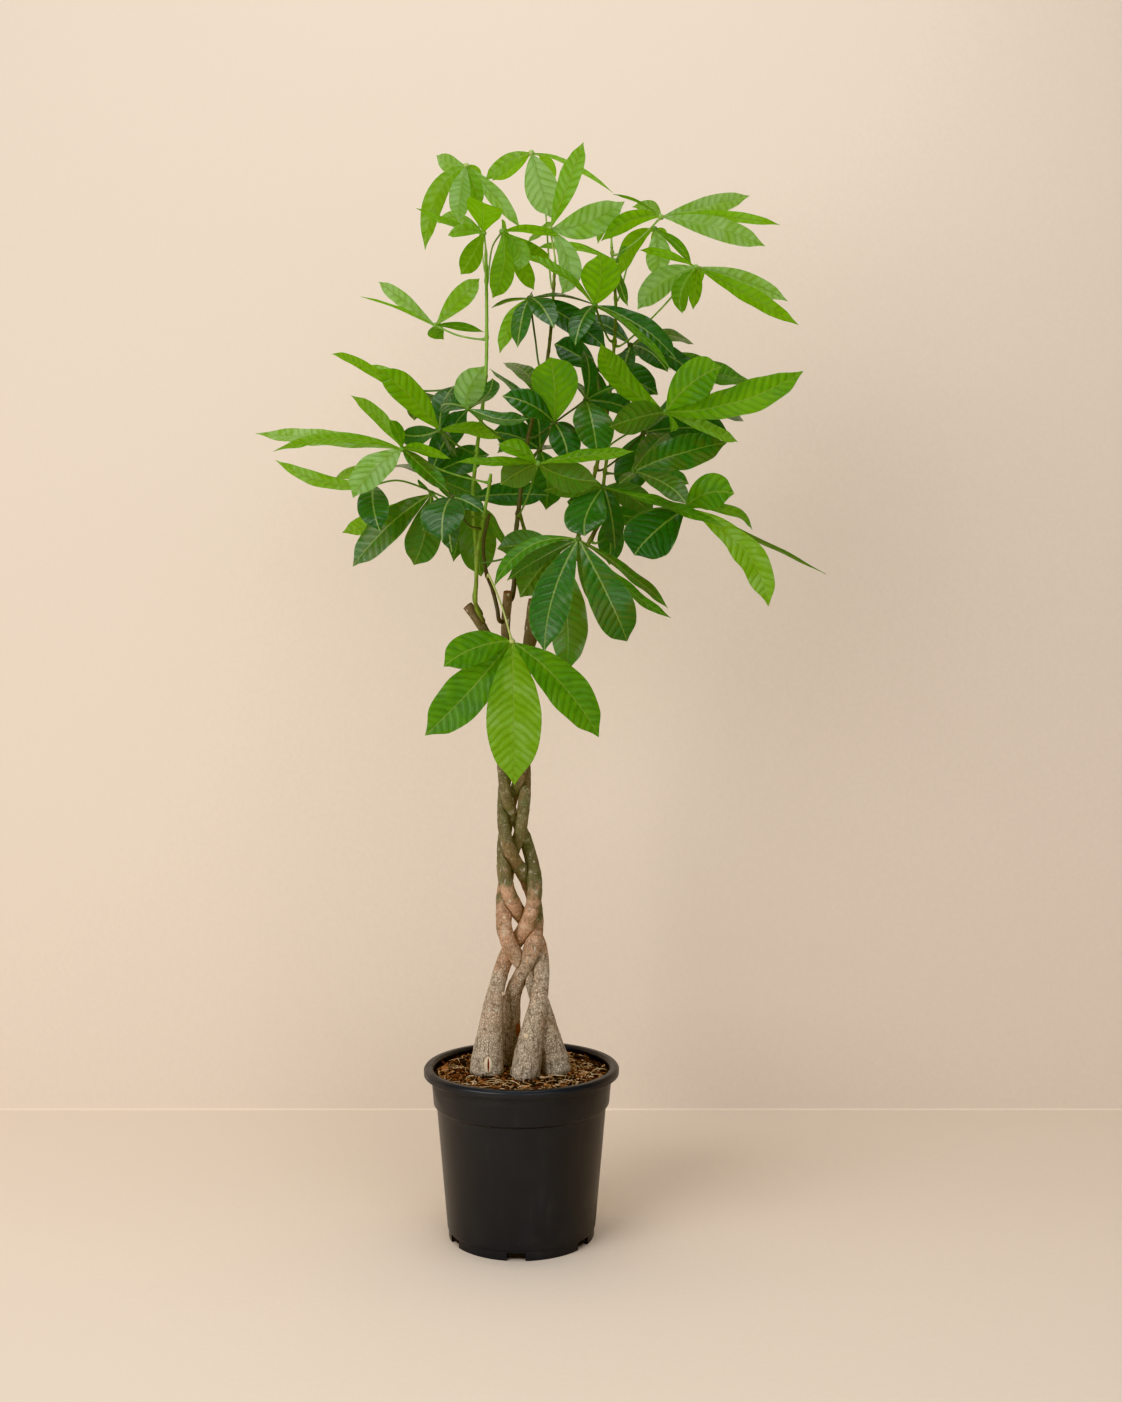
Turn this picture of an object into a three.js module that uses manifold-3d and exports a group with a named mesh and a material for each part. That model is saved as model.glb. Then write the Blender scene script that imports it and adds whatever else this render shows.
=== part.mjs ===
// Potted money tree: four plaited trunks in a black nursery pot, with palmate leaves on green shoots.
// Millimetres, +Z up, the front towards -Y. The origin is the centre of the pot's underside.

import * as THREE from 'three';
import { ConvexHull } from 'three/addons/math/ConvexHull.js';
import Module from 'manifold-3d';

const wasm = await Module();
wasm.setup();

// ---------------------------------------------------------------- driving dimensions

const POT_HEIGHT = 207;
const POT_RIM_RADIUS = 120;
const POT_SHOULDER_RADIUS = 110;
const POT_COLLAR_HEIGHT = 162;
const POT_BODY_RADIUS = 104;
const POT_FOOT_RADIUS = 89.3;
const POT_FOOT_HEIGHT = 12;
const POT_WALL = 2.2;
const POT_FLOOR = 3;
const POT_FOOT_STEP = 1.6;
const POT_COLLAR_STEP = 3.8;
const POT_COLLAR_BEND = 3;
const POT_SHOULDER_BLEND = 23;
const RIM_DROP = 10;
const RIM_THICKNESS = 2.4;
const RIM_EDGE = 1.4;
const POT_SIDES = 40;

const SLOT_COUNT = 6;
const SLOT_WIDTH = 22;
const SLOT_HEIGHT = 9.3;
const SLOT_REACH = 15;
const SLOT_CUT_LENGTH = 40;
const FIRST_SLOT_DEGREES = -92.5;

const SOIL_LEVEL = 197;
const SOIL_HEAP = 3;
const SOIL_BUMP = 1.4;
const SOIL_RING_RADII = [98, 82, 66, 50, 33, 16];
const SOIL_SEED = 41;
const SEAT_GAP = 0.3;

const TRUNK_BOTTOM = 152;
const PLAIT_BOTTOM = 390;
const PLAIT_TOP = 688;
const PLAIT_PERIOD = 295.6;
const PLAIT_CROSSING_HEIGHT = 510.4;
const PLAIT_DEPTH = 17;
const PLAIT_HALF_WIDTH_LOW = 20;
const PLAIT_HALF_WIDTH_HIGH = 13.7;
const PLAIT_MIDDLE_LOW = -2.2;
const PLAIT_MIDDLE_HIGH = -9.2;
const PLAIT_NARROWS_AT = 400;
const PLAIT_NARROWS_OVER = 145;
const PLAIT_QUICK_CROSSING = 0.8;
const TRUNK_RADIUS_LOW = 9.8;
const TRUNK_RADIUS_HIGH = 7.2;
const TRUNK_THINS_AT = 360;
const TRUNK_THINS_OVER = 200;
const TRUNK_TOP_THINS_OVER = 40;
const TRUNK_FOOT_BLEND = 8;
const TRUNK_TOP_BEND = 1.25;
const TRUNK_FLARE_TOP = 318;
const TRUNK_SIDES = 9;
const TRUNK_STEPS = 33;
const TRUNK_PATH_STEPS = 60;

const SHOOT_SIDES = 6;
const SHOOT_STEP = 24;
const RUN_PARTS = 12;
const STALK_STEP = 30;
const STALK_SAG = 0.06;
const STALK_TIP_RUN = 5;
const SEAT_RUN = 2.4;

const LEAF_THICKNESS = 0.8;
const LEAF_FOLD = 0.22;
const KNOB_RADIUS = 4.2;
const ROOT_HALF_WIDTH = 0.8;
const ROOT_HALF_THICK = 0.45;
const STALK_RADIUS = 1.3;
const LEAFLET_SPREAD = 0.16;
const LEAFLET_ARCH = 0.06;
const STALK_SIDES = 5;

// Places on the plant are read from the front, at the height of an eye that stands before it. A reading
// gives across, up and near (how far in front of the trunk), all in mm.
const EYE_DISTANCE = 1710;
const EYE_ACROSS = 48.5;
const EYE_HEIGHT = 654.5;

function seen([across, up, near]) {
  const shrink = (EYE_DISTANCE - near) / EYE_DISTANCE;
  const x = EYE_ACROSS + (across - EYE_ACROSS) * shrink;
  const z = EYE_HEIGHT + (up - EYE_HEIGHT) * shrink;
  return new THREE.Vector3(x, -near, z);
}

// ---------------------------------------------------------------- closed solids

function solidOf(points, triangles) {
  const vertProperties = new Float32Array(points.length * 3);
  points.forEach((point, index) => vertProperties.set([point.x, point.y, point.z], index * 3));
  const triVerts = new Uint32Array(triangles.flat());
  return new wasm.Manifold(new wasm.Mesh({ numProp: 3, vertProperties, triVerts }));
}

function geometryOf(solid) {
  const { vertProperties, triVerts } = solid.getMesh();
  const geometry = new THREE.BufferGeometry();
  geometry.setAttribute('position', new THREE.BufferAttribute(vertProperties, 3));
  geometry.setIndex(new THREE.BufferAttribute(triVerts, 1));
  geometry.computeVertexNormals();
  return geometry;
}

// Rings of equally many points, each above the last, closed by a flat fan at both ends.
function stackRings(rings) {
  const sides = rings[0].length;
  const points = rings.flat();
  const triangles = [];
  for (let ring = 0; ring + 1 < rings.length; ring += 1) {
    for (let side = 0; side < sides; side += 1) {
      const a = ring * sides + side;
      const b = ring * sides + (side + 1) % sides;
      triangles.push([a, b, b + sides], [a, b + sides, a + sides]);
    }
  }
  const last = (rings.length - 1) * sides;
  for (let side = 1; side + 1 < sides; side += 1) {
    triangles.push([0, side + 1, side]);
    triangles.push([last, last + side, last + side + 1]);
  }
  return solidOf(points, triangles);
}

// A round stem along a curve, with a radius for each place from 0 at its start to 1 at its end.
function stemAlong(curve, radiusAt, steps, sides) {
  const frames = curve.computeFrenetFrames(steps, false);
  const rings = [];
  for (let step = 0; step <= steps; step += 1) {
    const place = step / steps;
    const centre = curve.getPointAt(place);
    const radius = radiusAt(place);
    const ring = [];
    for (let side = 0; side < sides; side += 1) {
      const angle = (side / sides) * Math.PI * 2;
      const point = centre.clone();
      point.addScaledVector(frames.normals[step], radius * Math.cos(angle));
      point.addScaledVector(frames.binormals[step], radius * Math.sin(angle));
      ring.push(point);
    }
    rings.push(ring);
  }
  return stackRings(rings);
}

function smooth(value) {
  const clamped = Math.min(1, Math.max(0, value));
  return clamped * clamped * (3 - 2 * clamped);
}

function mix(from, to, share) {
  return from + (to - from) * share;
}

// A small repeatable draw, so that every build gives the same soil.
function seededDraw(seed) {
  let state = seed;
  return () => {
    state = (state * 1664525 + 1013904223) % 4294967296;
    return state / 4294967296;
  };
}

// ---------------------------------------------------------------- materials

const potPlastic = { color: 0x17181a, roughness: 0.5, metalness: 0 };
const barkSoil = { color: 0x8a5a36, roughness: 0.95, metalness: 0 };
const trunkBark = { color: 0x8d7556, roughness: 0.85, metalness: 0 };
const greenStem = { color: 0x6f8a2a, roughness: 0.6, metalness: 0 };
const oldLeaf = { color: 0x2c6a18, roughness: 0.5, metalness: 0 };
const youngLeaf = { color: 0x86b03a, roughness: 0.55, metalness: 0 };

const tree = new THREE.Group();

// Adds one piece under its name. Its geometry is made about its own place.
function addPiece(name, solid, finish, place = new THREE.Vector3()) {
  const local = solid.translate([-place.x, -place.y, -place.z]);
  const mesh = new THREE.Mesh(geometryOf(local), new THREE.MeshStandardMaterial(finish));
  mesh.name = name;
  mesh.position.copy(place);
  tree.add(mesh);
}

// ---------------------------------------------------------------- pot

// The wall's outside, from the foot to under the rim.
const POT_COLLAR_LOW = POT_COLLAR_HEIGHT - POT_COLLAR_BEND;
const POT_SHOULDER_HEIGHT = POT_COLLAR_HEIGHT + POT_SHOULDER_BLEND;
const POT_RIM_UNDER = POT_HEIGHT - RIM_THICKNESS;
const POT_OUTSIDE = [
  [0, POT_FOOT_RADIUS],
  [POT_FOOT_HEIGHT - POT_FOOT_STEP / 2, POT_FOOT_RADIUS],
  [POT_FOOT_HEIGHT, POT_FOOT_RADIUS + POT_FOOT_STEP],
  [POT_COLLAR_LOW, POT_BODY_RADIUS],
  [POT_COLLAR_HEIGHT, POT_BODY_RADIUS + POT_COLLAR_STEP],
  [POT_SHOULDER_HEIGHT, POT_SHOULDER_RADIUS],
  [POT_RIM_UNDER, POT_SHOULDER_RADIUS],
];

// Heights where the inside of the wall bends.
const POT_BENDS = [POT_FLOOR, POT_COLLAR_LOW, POT_COLLAR_HEIGHT, POT_SHOULDER_HEIGHT, POT_RIM_UNDER];

// The wall's inner radius at a height.
function potInside(height) {
  for (let index = 1; index < POT_OUTSIDE.length; index += 1) {
    const [low, lowRadius] = POT_OUTSIDE[index - 1];
    const [high, highRadius] = POT_OUTSIDE[index];
    if (height <= high) return mix(lowRadius, highRadius, (height - low) / (high - low)) - POT_WALL;
  }
  return POT_SHOULDER_RADIUS - POT_WALL;
}

function potSolid() {
  const skirt = POT_HEIGHT - RIM_DROP;
  const outline = [[0, 0]];
  for (const [height, radius] of POT_OUTSIDE) outline.push([radius, height]);
  outline.push([POT_RIM_RADIUS - RIM_THICKNESS, POT_RIM_UNDER]);
  outline.push([POT_RIM_RADIUS - RIM_THICKNESS, skirt]);
  outline.push([POT_RIM_RADIUS, skirt]);
  outline.push([POT_RIM_RADIUS, POT_HEIGHT - RIM_EDGE]);
  outline.push([POT_RIM_RADIUS - RIM_EDGE, POT_HEIGHT]);
  outline.push([POT_SHOULDER_RADIUS, POT_HEIGHT]);
  for (const height of [...POT_BENDS].reverse()) outline.push([potInside(height), height]);
  outline.push([0, POT_FLOOR]);
  const rings = outline.map(([radius, height]) => {
    const ring = [];
    for (let side = 0; side < POT_SIDES; side += 1) {
      const angle = (side / POT_SIDES) * Math.PI * 2;
      ring.push(new THREE.Vector3(radius * Math.cos(angle), radius * Math.sin(angle), height));
    }
    return ring;
  });
  // The two points on the axis close the outline, so each is one point there and not a ring.
  const body = closeOnAxis(rings);
  return cutSlots(body);
}

function closeOnAxis(rings) {
  const sides = rings[0].length;
  const inner = rings.slice(1, -1);
  const points = [rings[0][0], ...inner.flat(), rings.at(-1)[0]];
  const last = points.length - 1;
  const triangles = [];
  for (let side = 0; side < sides; side += 1) {
    const next = (side + 1) % sides;
    triangles.push([0, 1 + next, 1 + side]);
    for (let ring = 0; ring + 1 < inner.length; ring += 1) {
      const a = 1 + ring * sides + side;
      const b = 1 + ring * sides + next;
      triangles.push([a, b, b + sides], [a, b + sides, a + sides]);
    }
    const top = 1 + (inner.length - 1) * sides;
    triangles.push([last, top + side, top + next]);
  }
  return solidOf(points, triangles);
}

function cutSlots(body) {
  const inward = POT_FOOT_RADIUS - POT_WALL - SLOT_REACH;
  let cut = body;
  for (let slot = 0; slot < SLOT_COUNT; slot += 1) {
    const angle = THREE.MathUtils.degToRad(FIRST_SLOT_DEGREES + (slot * 360) / SLOT_COUNT);
    const box = new THREE.BoxGeometry(SLOT_CUT_LENGTH, SLOT_WIDTH, SLOT_HEIGHT * 2);
    box.translate(inward + SLOT_CUT_LENGTH / 2, 0, 0);
    box.rotateZ(angle);
    cut = cut.subtract(solidOfBox(box));
  }
  return cut;
}

// A box geometry has its own corners on each face, so the corners that lie together become one.
function solidOfBox(geometry) {
  const position = geometry.getAttribute('position');
  const corners = [];
  const cornerOf = [];
  for (let index = 0; index < position.count; index += 1) {
    const point = new THREE.Vector3().fromBufferAttribute(position, index);
    let found = corners.findIndex((corner) => corner.distanceTo(point) < 0.001);
    if (found < 0) found = corners.push(point) - 1;
    cornerOf.push(found);
  }
  const triangles = [];
  const order = geometry.index.array;
  for (let index = 0; index < order.length; index += 3) {
    triangles.push([cornerOf[order[index]], cornerOf[order[index + 1]], cornerOf[order[index + 2]]]);
  }
  return solidOf(corners, triangles);
}

// ---------------------------------------------------------------- trunks

// Each trunk: its turn in the plait, where it stands in the soil, how far it leans aside on its way
// there, its radii, and where its cut top is.
const TRUNKS = [
  {
    name: 'trunk_front_left', turn: 0, foot: [-41, 14], lean: 0,
    base: 21, top: [14, 779, 12], thin: 5.8,
  },
  {
    name: 'trunk_back_right', turn: 0.2, foot: [-14, -24], lean: 1,
    base: 15, top: [36, 772, -30], thin: 5.6,
  },
  {
    name: 'trunk_front_middle', turn: 0.4, foot: [5, 34], lean: 12,
    base: 18.5, top: [-17, 789, 20], thin: 5.6,
  },
  {
    name: 'trunk_front_right', turn: 0.6, foot: [42, 12], lean: -10,
    base: 17.5, top: [-67, 772, -6], thin: 6.2,
  },
];

// The plait's middle line, half its width and a trunk's radius in it, which all change upwards.
function plaitNarrowing(height) {
  return smooth((height - PLAIT_NARROWS_AT) / PLAIT_NARROWS_OVER);
}

function plaitRadius(height) {
  const share = smooth((height - TRUNK_THINS_AT) / TRUNK_THINS_OVER);
  return mix(TRUNK_RADIUS_LOW, TRUNK_RADIUS_HIGH, share);
}

// A plaited trunk swings from side to side twice as slowly as it swings from front to back.
function trunkCentre(trunk, height) {
  const turns = (PLAIT_CROSSING_HEIGHT - height) / PLAIT_PERIOD - trunk.turn;
  const swing = Math.sin(turns * Math.PI * 2);
  const sideways = Math.sign(swing) * Math.abs(swing) ** PLAIT_QUICK_CROSSING;
  const narrowing = plaitNarrowing(height);
  const reach = mix(PLAIT_HALF_WIDTH_LOW, PLAIT_HALF_WIDTH_HIGH, narrowing);
  const middle = mix(PLAIT_MIDDLE_LOW, PLAIT_MIDDLE_HIGH, narrowing);
  const plaited = new THREE.Vector3(
    middle + reach * sideways,
    PLAIT_DEPTH * Math.sin(turns * Math.PI * 4),
    height,
  );
  const down = Math.max(0, (PLAIT_BOTTOM - height) / (PLAIT_BOTTOM - SOIL_LEVEL - TRUNK_FOOT_BLEND));
  plaited.lerp(new THREE.Vector3(trunk.foot[0], -trunk.foot[1], height), smooth(down));
  plaited.x += trunk.lean * Math.sin(Math.min(1, down) * Math.PI);
  if (height > PLAIT_TOP) {
    const top = seen(trunk.top);
    const share = (height - PLAIT_TOP) / (top.z - PLAIT_TOP);
    plaited.lerp(new THREE.Vector3(top.x, top.y, height), Math.min(1, share ** TRUNK_TOP_BEND));
  }
  return plaited;
}

function trunkRadius(trunk, height) {
  const flare = smooth((TRUNK_FLARE_TOP - height) / (TRUNK_FLARE_TOP - SOIL_LEVEL));
  const upper = mix(plaitRadius(height), trunk.thin, smooth((height - PLAIT_TOP) / TRUNK_TOP_THINS_OVER));
  return mix(upper, trunk.base, flare);
}

function trunkPath(trunk) {
  const top = seen(trunk.top).z;
  const points = [];
  for (let step = 0; step <= TRUNK_PATH_STEPS; step += 1) {
    points.push(trunkCentre(trunk, mix(TRUNK_BOTTOM, top, step / TRUNK_PATH_STEPS)));
  }
  return points;
}

function nearestOn(path, point) {
  let best = path[0];
  for (const place of path) {
    if (place.distanceToSquared(point) < best.distanceToSquared(point)) best = place;
  }
  return best;
}

const trunkPaths = TRUNKS.map(trunkPath);

// Trunks that were plaited young press flat on each other, so each point of a trunk stops half way to
// the middle line of the trunk that it leans on.
function pressFlat(point, centre, own, extra) {
  trunkPaths.forEach((path, other) => {
    if (other === own) return;
    const across = nearestOn(path, point).clone().sub(centre);
    const room = across.length() / 2 - SEAT_GAP + extra;
    across.normalize();
    const reach = point.clone().sub(centre).dot(across);
    if (reach > room) point.addScaledVector(across, room - reach);
  });
}

function trunkSolid(own, grow) {
  const trunk = TRUNKS[own];
  const curve = new THREE.CatmullRomCurve3(trunkPaths[own]);
  const frames = curve.computeFrenetFrames(TRUNK_STEPS, false);
  const rings = [];
  for (let step = 0; step <= TRUNK_STEPS; step += 1) {
    const centre = curve.getPointAt(step / TRUNK_STEPS);
    const radius = trunkRadius(trunk, centre.z) + grow;
    const ring = [];
    for (let side = 0; side < TRUNK_SIDES; side += 1) {
      const angle = (side / TRUNK_SIDES) * Math.PI * 2;
      const point = centre.clone();
      point.addScaledVector(frames.normals[step], radius * Math.cos(angle));
      point.addScaledVector(frames.binormals[step], radius * Math.sin(angle));
      pressFlat(point, centre, own, grow);
      ring.push(point);
    }
    rings.push(ring);
  }
  rings[0].forEach((point) => { point.z -= grow; });
  rings.at(-1).forEach((point) => { point.z += grow; });
  return stackRings(rings);
}

const grownTrunks = TRUNKS.map((trunk, own) => trunkSolid(own, SEAT_GAP));
const trunkSolids = TRUNKS.map((trunk, own) => {
  let solid = trunkSolid(own, 0);
  for (let other = 0; other < own; other += 1) solid = solid.subtract(grownTrunks[other]);
  return solid;
});

// ---------------------------------------------------------------- soil

function soilSolid() {
  const draw = seededDraw(SOIL_SEED);
  const floor = POT_FLOOR + SEAT_GAP;
  const heights = [floor, ...POT_BENDS.slice(1, -1), SOIL_LEVEL];
  const rings = [[0, floor, 0]];
  for (const height of heights) rings.push([potInside(height) - SEAT_GAP, height, 0]);
  for (const radius of SOIL_RING_RADII) {
    const heap = SOIL_HEAP * (1 - radius / POT_BODY_RADIUS);
    rings.push([radius, SOIL_LEVEL + heap, SOIL_BUMP]);
  }
  rings.push([0, SOIL_LEVEL + SOIL_HEAP, 0]);
  const placed = rings.map(([radius, height, rough]) => {
    const ring = [];
    for (let side = 0; side < POT_SIDES; side += 1) {
      const angle = (side / POT_SIDES) * Math.PI * 2;
      const bump = rough * (draw() * 2 - 1);
      ring.push(new THREE.Vector3(radius * Math.cos(angle), radius * Math.sin(angle), height + bump));
    }
    return ring;
  });
  let soil = closeOnAxis(placed);
  for (const trunk of grownTrunks) soil = soil.subtract(trunk);
  return soil;
}

// ---------------------------------------------------------------- green shoots

// Each shoot starts on a trunk at a height and then passes through these readings, up to its tip.
const SHOOTS = {
  left_low: {
    trunk: 3, start: 752, thick: 2.6, thin: 1.9,
    way: [[-56, 770, 10], [-56, 800, 18], [-54, 840, 27], [-49, 872, 29], [-43, 902, 26], [-38, 933, 22]],
  },
  left_tall: {
    trunk: 3, start: 758, thick: 2.6, thin: 1.9,
    way: [[-58, 778, -18], [-56, 800, -24], [-56, 840, -24], [-59, 880, -16], [-60, 910, -8],
      [-55, 965, -2], [-49, 1010, 0], [-44, 1060, 2], [-43, 1124, 2], [-44, 1206, 2]],
  },
  middle_tall: {
    trunk: 2, start: 776, thick: 3.2, thin: 1.7,
    way: [[-9, 800, 4], [-8, 850, -4], [-2, 905, -6], [2, 945, -4], [13, 1000, 0],
      [30, 1066, 0], [36, 1112, 0], [41, 1193, 0]],
  },
  middle_low: {
    trunk: 2, start: 750, thick: 2.6, thin: 2.0,
    way: [[-30, 768, 26], [-36, 792, 18], [-44, 815, 6], [-47, 850, -4], [-40, 884, -8]],
  },
  right_low: {
    trunk: 0, start: 768, thick: 3.2, thin: 1.9,
    way: [[25, 786, 16], [52, 815, 14], [80, 845, 12], [96, 880, 12], [100, 915, 10], [106, 962, 6]],
  },
  right_tall: {
    trunk: 1, start: 762, thick: 3.2, thin: 1.6,
    way: [[48, 780, -36], [62, 830, -46], [84, 910, -44], [104, 1000, -30], [113, 1080, -16],
      [116, 1140, -6], [113, 1184, -2], [111, 1214, -4]],
  },
  back: {
    trunk: 1, start: 742, thick: 3.2, thin: 1.9,
    way: [[24, 772, -54], [14, 830, -66], [-3, 890, -74], [-6, 930, -80]],
  },
};

// The place where something of this thickness sits on a stem's side, turned towards a target.
function sideSeat(path, radiusOf, height, target, own) {
  const centre = path.reduce((best, place) => (
    Math.abs(place.z - height) < Math.abs(best.z - height) ? place : best
  ));
  const index = path.indexOf(centre);
  const ahead = path[Math.min(index + 1, path.length - 1)];
  const behind = path[Math.max(index - 1, 0)];
  const along = ahead.clone().sub(behind).normalize();
  const out = target.clone().sub(centre);
  out.addScaledVector(along, -out.dot(along)).normalize();
  const radius = radiusOf(centre.z);
  const seat = centre.clone().addScaledVector(out, radius + SEAT_GAP * 1.5);
  const clear = seat.clone().addScaledVector(out, own * SEAT_RUN);
  return { seat, clear };
}

// Places close together on the straight runs between a stem's rings.
function straightRuns(corners) {
  const places = [];
  for (let at = 0; at + 1 < corners.length; at += 1) {
    for (let part = 0; part < RUN_PARTS; part += 1) {
      places.push(corners[at].clone().lerp(corners[at + 1], part / RUN_PARTS));
    }
  }
  places.push(corners.at(-1));
  return places;
}

const shootPaths = {};
for (const [name, shoot] of Object.entries(SHOOTS)) {
  const way = shoot.way.map(seen);
  const trunk = TRUNKS[shoot.trunk];
  const path = trunkPaths[shoot.trunk];
  const { seat, clear } = sideSeat(path, (z) => trunkRadius(trunk, z), shoot.start, way[0], shoot.thick);
  const curve = new THREE.CatmullRomCurve3([seat, clear, ...way], false, 'centripetal');
  const steps = Math.round(curve.getLength() / SHOOT_STEP);
  const radiusAt = (place) => mix(shoot.thick, shoot.thin, place);
  shootPaths[name] = { points: straightRuns(curve.getSpacedPoints(steps)), radiusAt, curve, steps };
}

function shootRadius(name, height) {
  const { points, radiusAt } = shootPaths[name];
  const index = points.findIndex((point) => point.z >= height);
  return radiusAt(index < 0 ? 1 : index / (points.length - 1));
}

// ---------------------------------------------------------------- leaves

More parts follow.
